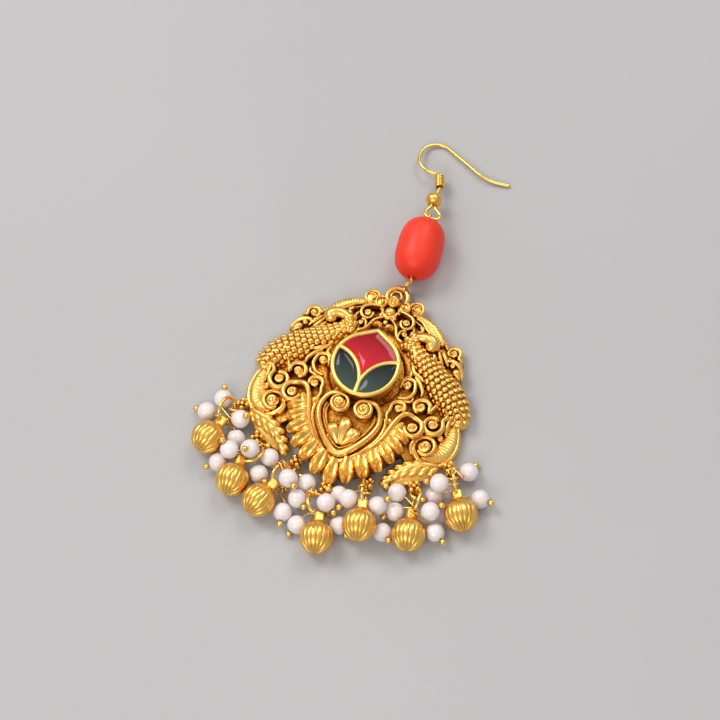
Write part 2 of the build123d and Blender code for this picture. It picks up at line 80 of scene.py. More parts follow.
Pearl = namedtuple("Pearl", "cluster x y z azimuth elevation")
PEARLS = [Pearl(*row) for row in [
    (1, -23.3, -12.1, 1.7, 104, 0),
    (1, -25.3, -15.3, 1.7, 176, -17),
    (1, -18.8, -15.1, 2.6, 20, 55),
    (1, -18.4, -18.6, 1.7, -63, -25),
    (2, -18.3, -21.6, 3.9, 150, 40),
    (2, -19.9, -23.8, 1.8, 221, 0),
    (2, -14.7, -20.5, 4.7, -110, 61),
    (2, -12.2, -23.6, 1.7, -38, 20),
    (3, -11.4, -20.1, 1.7, 120, 0),
    (3, -6.4, -23.5, 4.2, -41, 21),
    (3, -3.9, -26.1, 2.6, -36, 12),
    (3, -5.7, -29, 1.7, -83, 0),
    (4, -3.5, -22.6, 1.7, 143, -25),
    (4, -2.5, -30.4, 1.7, -117, -25),
    (4, 1.4, -25.6, 3.8, -35, -10),
    (4, 4.6, -28.2, 1.7, -36, -2),
    (5, 5, -23.8, 4.2, -118, -5),
    (5, 2.7, -22.9, 1.7, 178, 28),
    (5, 10.2, -23.3, 3.8, 45, 22),
    (5, 12.3, -27.1, 1.7, -38, 20),
    (6, 13.1, -22.8, 1.7, -133, 8),
    (6, 12.3, -19.3, 1.7, 170, 10),
    (6, 19.4, -21.5, 4, 44, 10),
    (6, 21.1, -24.2, 1.7, -34, 0),
    (7, 18.8, -17.9, 1.7, -137, 17),
    (7, 19.3, -16.3, 4.8, 190, 0),
    (7, 23.1, -11.7, 1.7, 70, -25),
    (7, 26.6, -15.9, 1.7, -6, 13),
]]


# ---- mesh tools
def unit(v):
    """A direction at length 1, or each row of several."""
    v = np.asarray(v, float)
    return v / np.maximum(np.linalg.norm(v, axis=-1, keepdims=True), 1e-6)


def around(count):
    """So many angles round a full turn."""
    return np.linspace(0, 2 * math.pi, count, endpoint=False)


def polar(radius, angle, height):
    """Points at a radius, an angle and a height, each of them a number or an array."""
    parts = np.broadcast_arrays(radius * np.cos(angle), radius * np.sin(angle), height)
    return np.stack(parts, axis=-1)


def circle(angle, u, v):
    """Points on a circle of radius 1 that sets out from direction u towards v."""
    return np.cos(angle)[:, None] * u + np.sin(angle)[:, None] * v


def crown_z(x, y):
    return CROWN_HEIGHT - CROWN_RADIUS + np.sqrt(CROWN_RADIUS ** 2 - x ** 2 - (y - CROWN_Y) ** 2)


def on_crown(points, raised):
    """Plan points lifted to so much above the casting's crowned face."""
    flat = np.asarray(points, float)
    z = crown_z(flat[:, 0], flat[:, 1]) + raised
    return np.column_stack([flat[:, :2], z])


def smooth(points, steps=6):
    """A Catmull-Rom line through the points."""
    p = np.asarray(points, float)
    p = np.vstack([2 * p[0] - p[1], p, 2 * p[-1] - p[-2]])
    t = np.linspace(0, 1, steps, endpoint=False)[:, None]
    runs = []
    for a, b, c, d in zip(p, p[1:], p[2:], p[3:]):
        bent = (2 * a - 5 * b + 4 * c - d) * t ** 2 + (3 * b - a - 3 * c + d) * t ** 3
        runs.append((2 * b + (c - a) * t + bent) / 2)
    return np.vstack(runs + [p[-2:-1]])


def travelled(path):
    return np.concatenate([[0], np.cumsum(np.linalg.norm(np.diff(path, axis=0), axis=1))])


def placed(path, distance):
    """The points that lie so far along a line."""
    s = travelled(path)
    return np.stack([np.interp(distance, s, axis) for axis in path.T], axis=-1)


def even(path, step):
    """The same line with its points at equal steps."""
    length = travelled(path)[-1]
    return placed(path, np.linspace(0, length, max(int(length / step), 2) + 1))


def whole(half):
    """A line that starts on the middle, with its mirror image before it."""
    half = np.asarray(half, float)
    return np.vstack([half[:0:-1] * (-1, 1, 1), half])


def spread(values, count):
    """A short list of sizes stretched evenly over so many points."""
    values = np.atleast_1d(np.asarray(values, float))
    return np.interp(np.linspace(0, 1, count), np.linspace(0, 1, len(values)), values)


MIDRIB_WIDTH = 0.3
BLUNT = 0.995       # how near a round end comes to closing


def round_ends(count, start=0.0, end=0.0):
    """Factors that close a loft at its ends with a round nose."""
    u = np.linspace(0, 1, count)
    factor = np.ones(count)
    if start:
        factor *= np.sqrt(1 - np.clip(1 - u / start, 0, BLUNT) ** 2)
    if end:
        factor *= np.sqrt(1 - np.clip(1 - (1 - u) / end, 0, BLUNT) ** 2)
    return factor


class Shape:
    """Closed skins gathered into one mesh."""

    def __init__(self):
        self.blocks = []
        self.faces = []
        self.count = 0

    def add(self, points, faces):
        """Takes in a closed skin, with nothing of it below the casting's flat back."""
        points = np.asarray(points, float).reshape(-1, 3)
        points[:, 2] = np.maximum(points[:, 2], 0.0)
        self.blocks.append(points)
        self.faces += [tuple(i + self.count for i in face) for face in faces]
        self.count += len(self.blocks[-1])

    def grid(self, points, ring=False):
        """A skin over rows of closed loops. Its two ends are capped, or joined if it is a ring."""
        rows, sides = points.shape[:2]
        faces = []
        for i in range(rows if ring else rows - 1):
            here, there = i * sides, (i + 1) % rows * sides
            for j in range(sides):
                k = (j + 1) % sides
                faces.append((here + j, here + k, there + k, there + j))
        if not ring:
            faces.append(tuple(range(sides))[::-1])
            faces.append(tuple((rows - 1) * sides + j for j in range(sides)))
        self.add(points, faces)

    def mirror(self):
        """Adds the left half."""
        points = np.vstack(self.blocks)
        faces = [face[::-1] for face in self.faces]
        self.add(points * (-1, 1, 1), faces)

    def make(self, name, material, smooth_angle):
        mesh = bpy.data.meshes.new(name)
        mesh.from_pydata((np.vstack(self.blocks) * MM).tolist(), [], self.faces)
        mesh.validate()
        mesh.shade_smooth()
        piece = bpy.data.objects.new(name, mesh)
        bpy.context.scene.collection.objects.link(piece)
        mesh.materials.append(material)
        mesh.set_sharp_from_angle(angle=math.radians(smooth_angle))
        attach(piece, "root")
        return piece


def build(name, node, material, slot, fill, *args, smooth_angle=50):
    """Makes the piece that one of the functions below fills, and shows it for a CAD node."""
    shape = Shape()
    fill(shape, *args)
    piece = shape.make(name, material, smooth_angle)
    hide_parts(node)


def loft(shape, path, width, height, low=None, sides=14, ring=False, ribs=0, rib_depth=0.0,
         pitch=0.0, pitch_depth=0.0, slant=0.0, midrib=0.0, ends=(0.0, 0.0)):
    """A skin along a line: half width across, height above and depth below it.

    ribs run along it, and pitch is the spacing of ribs that run over it, slanted back
    from the middle by slant. ends are the shares of its length that close it."""
    path = np.asarray(path, float)
    count = len(path)
    along = unit(np.roll(path, -1, 0) - np.roll(path, 1, 0) if ring else np.gradient(path, axis=0))
    side = unit(np.cross(along, UP))
    rise = np.cross(side, along)
    nose = round_ends(count, *ends)
    height = spread(height, count) * nose
    low = height if low is None else spread(low, count) * nose
    turn = around(sides)
    across = (spread(width, count) * nose)[:, None] * np.cos(turn)
    top = np.clip(np.sin(turn), 0, None)
    lift = height[:, None] * top * (1 + rib_depth * np.cos(ribs * math.pi * np.cos(turn)))
    if pitch:
        phase = travelled(path)[:, None] - slant * np.abs(across)
        lift += pitch_depth * np.abs(np.sin(math.pi * phase / pitch)) * top * nose[:, None]
    if midrib:
        lift += midrib * np.exp(-((across / MIDRIB_WIDTH) ** 2)) * top * nose[:, None]
    lift += low[:, None] * np.clip(np.sin(turn), None, 0)
    skin = path[:, None] + side[:, None] * across[..., None] + rise[:, None] * lift[..., None]
    shape.grid(skin, ring)


def strand(shape, points, step, width, height, low=1.6, sides=12, ends=(0.1, 0.1), **ribs):
    """A loft along the smooth line through some points."""
    loft(shape, even(smooth(points), step), width, height, low, sides, ends=ends, **ribs)


def ball(shape, centre, radius, stretch=(1, 1, 1), axes=np.eye(3), sides=14, rings=9, corner=2.0):
    """A round or stretched ball; axes are its own three directions. A corner above 2 makes it
    squarer in plan."""
    lat = np.linspace(0.02, math.pi - 0.02, rings)[:, None]
    lon = around(sides)
    plump = (np.abs(np.cos(lon)) ** corner + np.abs(np.sin(lon)) ** corner) ** (-1 / corner)
    local = polar(np.sin(lat) * plump, lon, -np.cos(lat)) * stretch * radius
    shape.grid(np.asarray(centre) + local @ np.asarray(axes))


def hoop(shape, centre, axis, radius, wire, sides=12, count=40):
    """A ring of wire."""
    axis = unit(axis)
    u = unit(np.cross(axis, (0.31, 0.2, 0.93)))
    out = circle(around(count), u, np.cross(axis, u))
    section = around(sides)[:, None]
    skin = out[:, None] * (radius + wire * np.cos(section)) + axis * wire * np.sin(section)
    shape.grid((np.asarray(centre) + skin)[:, ::-1], ring=True)


def wire_along(shape, path, radius, sides=8):
    """Round wire along any line in space, without twist."""
    path = np.asarray(path, float)
    along = unit(np.gradient(path, axis=0))
    side = unit(np.cross(along[0], (0.3, 0.2, 0.9)))
    rows = []
    for point, way, r in zip(path, along, spread(radius, len(path))):
        side = unit(side - way * side.dot(way))
        rows.append(point + r * circle(around(sides), side, np.cross(way, side)))
    shape.grid(np.array(rows))


def lathe(shape, centre, axes, profile, sides=48):
    """A turned solid; its profile is a list of radii and places along the last axis."""
    rows = [polar(r, around(sides), h) for r, h in profile]
    shape.grid(np.asarray(centre) + np.array(rows) @ np.asarray(axes))


BEND_POINTS = 14


def rounded(corners):
    """A line through corners in plan, each a place and the radius that it is bent to."""
    points = [np.array(corners[0][:2])]
    for before, (x, y, bend), after in zip(corners, corners[1:], corners[2:]):
        corner = np.array([x, y])
        to_before, to_after = unit(before[:2] - corner), unit(after[:2] - corner)
        half = math.acos(np.clip(to_before @ to_after, -1, 1)) / 2
        middle = corner + unit(to_before + to_after) * bend / math.sin(half)
        start = corner + to_before * bend / math.tan(half) - middle
        end = corner + to_after * bend / math.tan(half) - middle
        across = np.array([-start[1], start[0]])
        turn = math.atan2(across @ end, start @ end)
        points.extend(middle + circle(np.linspace(0, turn, BEND_POINTS), start, across))
    points.append(np.array(corners[-1][:2]))
    return np.array(points)


def spiral(centre, radius, start, turns, hand, end_radius, rise=0.0):
    """Points that wind in towards a centre; start is in degrees, hand 1 is anticlockwise."""
    part = np.linspace(0, 1, max(int(turns * 10), 4))
    angle = math.radians(start) + hand * part * turns * 2 * math.pi
    return np.asarray(centre) + polar(radius + (end_radius - radius) * part, angle, rise * part)


def volute(shape, centre, radius, hand=1, turns=1.15):
    """A tall round boss with a swelling ridge that winds up to a knob on top, the eye of a scroll."""
    centre = np.asarray(centre, float)
    core = 0.78 * radius
    profile = [(core * math.sin(a), core * math.cos(a)) for a in np.linspace(0.02, QUARTER, 11)]
    foot = (1.05 * radius, -2.2 * radius)
    lathe(shape, centre, np.eye(3), [foot] + profile[::-1], sides=24)
    part = np.linspace(0, 1, int(26 * turns))
    lat = math.radians(86) - part * math.radians(66)
    lon = 2.2 + hand * part * turns * 2 * math.pi
    ridge = centre + core * polar(np.sin(lat), lon, np.cos(lat))
    wire_along(shape, ridge, np.array([0.14, 0.22, 0.28, 0.32, 0.34]) * radius, 10)
    ball(shape, ridge[-1], 0.38 * radius)


def scroll(shape, lead, centre, radius, start, turns, hand, thick, knob):
    """A scroll: its stem, the curl that the stem winds into, and the boss in the curl."""
    winding = spiral(centre, radius, start, turns, hand, knob + 0.45 * thick)
    strand(shape, np.vstack([lead, winding]), 0.25, np.array([0.6, 1.0, 1.1, 0.9]) * thick,
           1.3 * thick, low=2.2, ends=(0.04, 0.05))
    volute(shape, np.asarray(centre) - UP * 0.1, knob, hand)


# ---- stone setting
def setting_reach(turn, radius):
    """How far the setting's outline lies from its middle; turn 0 is towards its point."""
    tip_half = math.acos(SETTING_RADIUS / SETTING_TIP)
    away = np.abs((turn + math.pi) % (2 * math.pi) - math.pi)
    return np.where(away < tip_half, radius / np.cos(tip_half - away), radius)


def setting_line(radius, z, count=144):
    turn = around(count)
    return polar(setting_reach(turn, radius), turn + QUARTER, z)


# places that the right divider bends through
DIVIDER = np.array([(5.6, 1.9), (1.4, -0.5), (0.15, -5.9)])
DIVIDER_HALF = 0.3
STONE_GAP = 0.03
RIM_HALF = 0.43
FACET_ANGLE = 14        # edges sharper than this stay crisp
# share of a stone's outline, and height
STONE_PROFILE = [
    (0.02, 6.2), (1.0, 6.2), (1.0, 7.6), (0.985, 7.7), (0.93, 7.83), (0.9, 7.87), (0.72, 8.03),
    (0.68, 8.055), (0.4, 8.085), (0.02, 8.09),
]


def circle_through(a, b, c):
    middle = np.linalg.solve([b - a, c - b], [(b @ b - a @ a) / 2, (c @ c - b @ b) / 2])
    return middle, np.linalg.norm(a - middle)


def divider_line(side, z, count=28):
    middle, radius = circle_through(*DIVIDER)
    angles = np.unwrap([math.atan2(*(p - middle)[::-1]) for p in DIVIDER])
    line = polar(radius, np.linspace(angles[0], angles[2], count), z) + (*middle, 0)
    return line * (side, 1, 1)


def stone_reach(centre, turn, place):
    """How far a stone goes from its centre, before it meets the wall or a divider."""
    middle, radius = circle_through(*DIVIDER)
    steps = np.arange(0.05, 12, 0.02)
    points = centre + steps[:, None, None] * np.column_stack([np.cos(turn), np.sin(turn)])
    wall = setting_reach(np.arctan2(-points[..., 0], points[..., 1]),
                         SETTING_RADIUS - SETTING_WALL - STONE_GAP)
    inside = np.hypot(points[..., 0], points[..., 1]) < wall
    for side in (1, -1):
        away = np.linalg.norm(points - middle * (side, 1), axis=-1)
        if place == 0:
            inside &= away > radius + DIVIDER_HALF
        elif side == place:
            inside &= away < radius - DIVIDER_HALF
    return steps[np.argmin(inside, axis=0)]


def stone(shape, centre, place):
    """A flat-topped stone with a broad shallow bevel; place is 0 above and 1 or -1 at the sides."""
    turn = around(160)
    reach = stone_reach(np.asarray(centre), turn, place)
    rows = [polar(share * reach, turn, z) + (*centre, 0) for share, z in STONE_PROFILE]
    shape.grid(np.array(rows))


def setting(shape):
    """The cup with its rounded rim, and the dividers between the stones."""
    inner = SETTING_RADIUS - SETTING_WALL
    rings = [(0.05, SETTING_FOOT_Z), (SETTING_FOOT, SETTING_FOOT_Z), (5.75, 4.6), (6.0, 6.2),
             (SETTING_RADIUS - 0.06, 7.4), (SETTING_RADIUS - 0.12, 7.72), (inner + 0.1, 7.72),
             (inner, 7.5), (inner, SETTING_FLOOR_Z), (0.05, SETTING_FLOOR_Z)]
    shape.grid(np.array([setting_line(r, z)[::-1] for r, z in rings]))
    rim_z = SETTING_TOP_Z - 0.33
    loft(shape, setting_line(SETTING_RADIUS - RIM_HALF, rim_z), RIM_HALF, 0.36, ring=True)
    for side in (1, -1):
        loft(shape, divider_line(side, rim_z), [0.42, 0.42, 0.4, 0.28], [0.36, 0.36, 0.34, 0.26],
             low=1.5)
    stem = [(0, -2.7, rim_z), (0, -4.3, rim_z), (0, -5.9, rim_z)]
    strand(shape, stem, 0.15, [0.3, 0.46, 0.5, 0.55], 0.38, low=1.5, ends=(0.3, 0.0), sides=14)


# ---- casting
PLATE_EDGE = [(0, 14.2), (5.2, 14.3), (9.2, 12), (12.2, 9.2), (14.6, 5.6), (18, 1.2),
              (18.8, -3.6), (18.6, -8.8), (16.8, -12.6), (14.9, -14.4), (12.6, -14.2),
              (10.6, -12.6), (8.6, -15), (6.4, -17.2), (3.2, -19.2), (0, -20.2)]


def plate_reach(turn):
    """Distance from the setting's middle to the plate's edge; turn 0 is towards the hook."""
    half = smooth([(x, y, 0) for x, y in PLATE_EDGE], 12)
    angle = np.arctan2(half[:, 0], half[:, 1])
    away = np.abs((turn + math.pi) % (2 * math.pi) - math.pi)
    return np.interp(away, angle, np.hypot(half[:, 0], half[:, 1]))


def ground(shape):
    """The crowned plate with the deep round recess that the setting stands in."""
    turn = around(240)
    edge = plate_reach(turn)
    hollow = setting_reach(turn, RECESS_RADIUS)
    # each row has a reach and a height, which is below the crowned face where it is negative
    # and on that face where there is none
    rows = [(0.02 * hollow, 0), (0.9 * edge, 0), (edge, 0.25), (edge, None)]
    rows += [(edge + (hollow * 1.1 - edge) * part, None) for part in np.linspace(0.06, 1, 14)]
    rows += [(hollow * 1.05, -0.25), (hollow, -0.8), (hollow * 0.985, RECESS_Z),
             (hollow * 0.5, RECESS_Z), (hollow * 0.01, RECESS_Z)]
    skin = []
    for reach, z in rows:
        row = polar(reach, turn + QUARTER, 0)
        face = crown_z(row[:, 0], row[:, 1]) - GROUND_SINK
        row[:, 2] = face if z is None else face + z if z < 0 else z
        skin.append(row[::-1])
    shape.grid(np.array(skin))


def heart(shape):
    """The heart's broad rim with its two volutes, the hollow inside it and the bud."""
    side = [(0, -16.25, 3.75), (1.3, -15.75, 3.95), (2.7, -14.55, 4.3), (4.2, -12.7, 4.65),
            (5.25, -10.8, 4.95), (5.6, -9.05, 5.1), (5.05, -7.3, 5.4), (3.9, -6.2, 5.7)]
    curl = spiral((2.28, -7.8, 5.8), 1.65, 85, 1, 1, 1.3, 0.5)
    width, height = [0.64, 0.56, 0.5, 0.46, 0.4, 0.3], [0.75, 0.7, 0.65, 0.6, 0.5, 0.4]
    strand(shape, whole(np.vstack([side, curl])), 0.22, width[:0:-1] + width,
           height[:0:-1] + height, low=2.5, ends=(0.02, 0.02), sides=14)
    inner = whole([(0, -15.25, 4.05), (1, -14.85, 4.2), (2.2, -13.75, 4.5), (3.5, -12.1, 4.8),
                   (4.4, -10.4, 5), (4.7, -9.1, 5.1), (4.4, -7.9, 5.2)])
    strand(shape, inner, 0.08, 0.2, 0.2, sides=8, pitch=0.42, pitch_depth=0.14, ends=(0.04, 0.04))
    strand(shape, inner - UP * 0.5, 0.2, 0.55, 0.2, low=1.3, ends=(0.05, 0.05))
    outer = whole([(0, -17.35, 2.9), (2.1, -16.4, 3.25), (4.5, -14.2, 3.8), (6.2, -11.6, 4.2),
                   (6.65, -9.2, 4.5), (6.2, -7.4, 4.8)])
    strand(shape, outer, 0.25, 0.42, 0.36, sides=10, ends=(0.04, 0.04))
    strand(shape, outer - UP * 0.3, 0.25, 1.25, 0.25, low=1.3, ends=(0.04, 0.04), sides=14)
    half = Shape()
    volute(half, (2.25, -7.85, 5.95), 1.2, 1, 1.3)
    lobe = [(0.25, -14.7, 4.15), (1.05, -13.6, 4.7), (1.85, -12.4, 5), (2.5, -11.1, 4.8)]
    strand(half, lobe, 0.16, [0.35, 0.7, 1.05, 1.15, 0.85], [0.4, 0.7, 0.9, 0.6], low=1.4,
           sides=22, ribs=3, rib_depth=0.12, ends=(0.05, 0.3))
    leaf = [(0.4, -15.2, 3.6), (1.7, -14.6, 3.9), (2.9, -13.3, 4.2)]
    strand(half, leaf, 0.2, [0.25, 0.5, 0.4], 0.4, low=1.0, ends=(0.1, 0.3))
    half.mirror()
    shape.add(np.vstack(half.blocks), half.faces)
    middle = [(0, -14.8, 4.3), (0, -13.4, 4.95), (0, -11.6, 5.4), (0, -9.6, 5.3)]
    strand(shape, middle, 0.16, [0.35, 0.6, 1, 1.2, 0.95], [0.4, 0.75, 1, 0.8], sides=22, ribs=3,
           rib_depth=0.12, ends=(0.05, 0.3))


Petal = namedtuple("Petal", "tip_x tip_y base_x base_y half_width")
PETALS = [Petal(*row) for row in [
    (11.3, -10.6, 7.9, -8.7, 0.95),
    (10.9, -12.6, 7.4, -10.2, 1.1),
    (9.9, -14.8, 6.7, -11.8, 1.2),
    (8.2, -17.1, 5.6, -13.4, 1.25),
    (5.9, -19, 4.1, -14.9, 1.3),
    (3.1, -20.7, 2.2, -16.1, 1.35),
    (0, -21.9, 0, -16.9, 1.4),
]]


def petal(shape, row, start_z, tip_z):
    """A bulging petal with a ridge down its middle and a rounded point."""
    base, tip = np.array([row.base_x, row.base_y]), np.array([row.tip_x, row.tip_y])
    middle = [*(base * 0.45 + tip * 0.55), 0.35 * start_z + 0.65 * tip_z + 0.5]
    width = np.array([0.62, 0.75, 0.98, 1.1, 1.06, 0.84, 0.46]) * row.half_width
    strand(shape, [(*base, start_z), middle, (*tip, tip_z)], 0.18, width,
           [0.4, 0.5, 0.75, 1.05, 1.2, 0.95, 0.45], low=1.0, sides=36, ribs=3, rib_depth=0.17,
           midrib=0.12, ends=(0, 0.1))


def petals(shape):
    """The fan of ribbed petals under the heart, and the crescent that they grow from."""
    for row in PETALS[:-1]:
        petal(shape, row, crown_z(row.base_x, row.base_y) + 0.25,
              crown_z(row.tip_x, row.tip_y) + 0.05)
    # crescent's rim, and the hatched slope between it and the petals
    rim = [(3.4, -15.6, 3.6), (5.6, -13.5, 4.1), (7, -11.3, 4.5), (7.7, -9.1, 4.8),
           (8.5, -7.1, 5), (9.6, -5.9, 5)]
    scroll(shape, rim, (11.3, -7.9, 4.4), 1.95, 95, 0.8, -1, 0.48, 1.05)
    slope = [(1.2, -17.3, 2.8), (4.1, -15.7, 3.2), (6.3, -13.4, 3.7), (7.8, -11, 4.1),
             (8.6, -8.9, 4.4), (9.6, -7.3, 4.4)]
    strand(shape, slope, 0.09, [1.05, 1.2, 1.35, 1.3, 1.1, 0.7], 0.42, low=1.2, sides=18,
           pitch=0.48, pitch_depth=0.17, ends=(0.04, 0.12))
    shape.mirror()
    petal(shape, PETALS[-1], 3, 1.3)


# plain stems among the scrolls: a line and its half thickness
STEMS = [
    ([(0.5, 11, 4.1), (1.35, 10.5, 4.2), (2.15, 9.6, 4.5), (2.65, 8.4, 4.6), (3.4, 7.3, 4.7),
      (4.5, 6.7, 4.7)], 0.3),
    ([(7.6, 4.3, 4.7), (6.9, 6.2, 4.7), (5.4, 7.9, 4.6)], 0.4),
    ([(5.2, 10.8, 3.9), (5.5, 9.9, 4.2), (5.8, 9, 4.4)], 0.26),
    ([(8.6, 1.5, 4.8), (9.9, 0.4, 4.8), (10.9, -1, 4.7), (10.9, -2, 4.6)], 0.4),
    ([(7.5, 3.6, 4.7), (8.2, 2.2, 4.7), (9.4, 1.6, 4.7), (10.6, 0.9, 4.6)], 0.45),
    ([(9.8, -2.3, 4.6), (9.5, -3.3, 4.6), (8.5, -3.6, 4.6), (7.2, -4.3, 4.7),
      (6.1, -5.6, 4.8)], 0.32),
    ([(7.5, 2.6, 4.5), (7.9, 1.2, 4.6), (7, 0.4, 4.6), (6.9, -1.4, 4.6)], 0.35),
    ([(17, -3.1, 3.3), (17, -5.6, 3.1), (17.2, -7, 2.7)], 0.42),
    ([(12.4, -5.7, 4.2), (13, -7.6, 3.9), (12.9, -8.9, 3.6)], 0.42),
    ([(12.3, -9.4, 3.6), (12, -10.8, 3.2), (12.6, -12.2, 2.7)], 0.42),
    ([(6.3, 11.3, 3.8), (7, 10.4, 4), (6.2, 9.7, 4.2)], 0.36),
    ([(4.9, 12.7, 3.4), (6.3, 12.3, 3.4), (7.7, 11, 3.5), (9.2, 9.9, 3.5)], 0.3),
]

# thin feathers between a bird's head and the shoulder
FEATHERS = [
    [(10.7, 8, 3.1), (11.5, 6.8, 3.1), (12.5, 5.4, 2.9)],
    [(11.4, 8.3, 2.8), (12.3, 7.2, 2.9), (13.4, 5.7, 2.7)],
    [(10.1, 7.1, 3.6), (10.6, 6.4, 3.7), (11.2, 5.6, 3.5)],
]


Scroll = namedtuple("Scroll", "lead centre radius start turns hand thick knob")
SCROLLS = [Scroll(*row) for row in [
    ([(6.9, -3.4, 4.7), (8.6, -3, 4.8), (9.5, -1.8, 4.8)],
     (8, -0.6, 4.8), 1.5, -10, 0.58, 1, 0.38, 0.85),
    ([(6.9, -8.9, 4.6), (6.3, -7, 4.8)], (7.9, -5.3, 4.8), 1.55, 205, 0.66, -1, 0.42, 0.85),
    ([(14.4, -1.6, 4), (13.6, -3.4, 4.3)], (11.6, -3.8, 4.5), 1.7, -15, 0.78, 1, 0.44, 0.9),
    ([(15.6, -2.4, 3.9), (16.5, -3.8, 3.8)], (14.5, -6, 3.7), 1.95, 40, 0.98, -1, 0.48, 1),
    ([(1.2, 12.9, 3.6), (2.4, 12.9, 3.8)], (3.6, 11, 4), 1.5, 75, 0.8, -1, 0.32, 0.72),
    ([(14.9, 6.6, 2.3), (15.1, 7.8, 1.9)], (13.4, 8.8, 1.7), 1.3, -30, 0.75, 1, 0.42, 0.75),
    ([(4.5, 7, 4.6), (3.3, 7.6, 4.6)], (4.1, 8.6, 4.5), 0.95, 190, 0.35, -1, 0.24, 0.55),
]]


def scrolls(shape):
    """Scrollwork between the setting, the birds and the petals."""
    for row in SCROLLS:
        scroll(shape, *row)
    for stem, thick in STEMS:
        strand(shape, stem, 0.22, [0.7 * thick, thick, thick, 0.6 * thick], 1.2 * thick, low=1.8,
               sides=10, ends=(0.12, 0.12))
    # crescent on the shoulder below the small curl, a blade inside it and two bosses
    leaf = [(12.6, 6.5, 2.9), (13.8, 7, 2.8), (15.2, 6.5, 2.5), (16.1, 5.3, 2.2), (16.4, 4, 2)]
    strand(shape, leaf, 0.2, [0.3, 0.42, 0.45, 0.36, 0.2], 0.5, ends=(0.15, 0.1))
    blade = [(14.4, 5.7, 2.6), (15, 5.2, 2.6), (15.6, 4.6, 2.4), (15.9, 3.8, 2.1)]
    strand(shape, blade, 0.15, [0.6, 0.75, 0.6, 0.3], [0.5, 0.6, 0.5, 0.25], sides=16,
           ends=(0.4, 0.2))
    volute(shape, (14.1, 6.2, 2.8), 0.5)
    volute(shape, (16.4, -7.6, 2.6), 0.6)
    for stem in FEATHERS:
        strand(shape, stem, 0.2, [0.3, 0.4, 0.38, 0.25], 0.5, low=1.4, sides=10, ends=(0.12, 0.12))
    # big ribbed scroll at the outer edge
    fan = [(17.6, -4.2), (17.9, -6.4), (17.7, -8.5), (16.9, -10.3), (15.4, -11.2), (13.9, -10.9)]
    strand(shape, on_crown(fan, -0.2), 0.09, [1, 1.5, 1.8, 1.85, 1.6, 1], 0.7, low=0.9, sides=20,
           pitch=0.52, pitch_depth=0.12, ends=(0.08, 0.1))
    rim = [(18.6, -4.2), (19.35, -6.2), (19.6, -8.4), (18.8, -10.9), (16.8, -12.8), (14.5, -12.7)]
    curl = spiral((14.4, -10.1, 2.9), 2.15, 215, 1, -1, 1.35, 0.2)
    strand(shape, np.vstack([on_crown(rim, 0.2), curl]), 0.25, [0.3, 0.45, 0.52, 0.52, 0.45, 0.35],
           0.5, sides=10, ends=(0.04, 0.04))
    volute(shape, (14.4, -10.1, 2.85), 1.25)
    shape.mirror()


LOBE_COUNT = 7


def leaf_lobe(shape, stem, part, out, width):
    """A lobe of a leaf, from a place along its stem."""
    root = stem[int(part * (len(stem) - 1))] - UP * 0.15
    tip = root + out
    tip[2] = max(root[2] - 0.3 * np.linalg.norm(out), 0.9)
    middle = (root + tip) / 2 + (0.25, 0, 0.35)
    strand(shape, [root, middle, tip], 0.14, np.array([0.5, 0.95, 1, 0.8]) * width,
           [0.35, 0.6, 0.6, 0.4], low=1.0, sides=16, ribs=1, rib_depth=0.12, ends=(0.08, 0.5))


def leaves(shape):
    """Lobed leaves at the lower corners, and a veined band with a row of beads on each shoulder."""
    stem = smooth([(18, -12.6, 2.2), (15.9, -13.1, 2.9), (13.4, -14, 2.9), (11.2, -15.8, 2.3),
                   (9.4, -18.4, 1.4)], 12)
    loft(shape, even(stem, 0.2), [0.4, 0.5, 0.46, 0.36, 0.2], [0.45, 0.55, 0.5, 0.3], low=1.4,
         sides=12, ends=(0.08, 0.08))
    under = [(17.4, -13.3, 1.4), (15.5, -14.3, 1.7), (13.2, -15.6, 1.6), (11.3, -17, 1.3),
             (9.8, -18.3, 1)]
    strand(shape, under, 0.2, [0.8, 1.45, 1.8, 1.5, 0.5], [0.35, 0.6, 0.6, 0.4], low=0.9,
           ends=(0.08, 0.1), sides=14)
    for number in range(LOBE_COUNT):
        part = (number + 0.4) / LOBE_COUNT
        reach = 3.5 * math.sin(math.pi * (0.2 + 0.7 * part)) + 0.4
        leaf_lobe(shape, stem, part, np.array([-0.66, -0.75, 0]) * reach, 0.8)
        if number:
            reach = 1.9 * math.sin(math.pi * (0.1 + 0.8 * part)) + 0.5
            leaf_lobe(shape, stem, part, np.array([-0.98, -0.05, 0]) * reach, 0.66)
    band = [(4.6, 13.5), (6.3, 12.9), (8.2, 11.9), (9.7, 10.7), (11.2, 9.3)]
    strand(shape, on_crown(band, 0.25), 0.07, [0.5, 0.95, 1.15, 1, 0.5], [0.4, 0.55, 0.55, 0.4],
           low=1.2, sides=28, pitch=0.5, pitch_depth=0.2, slant=-0.9, ends=(0.08, 0.1))
    beads = [(5.2, 14), (7.2, 13.4), (9.1, 12.3), (10.6, 10.9), (12, 9.3)]
    for spot in even(smooth(on_crown(beads, 0.1)), 0.52):
        ball(shape, spot, 0.34, stretch=(1, 1, 0.9), sides=12, rings=7)
    edge = [(3.6, 12.7), (5.6, 12), (7.6, 10.9), (9.4, 9.6), (10.6, 8.9)]
    strand(shape, on_crown(edge, 0.2), 0.25, 0.26, 0.45, low=1.4, sides=10)
    shape.mirror()


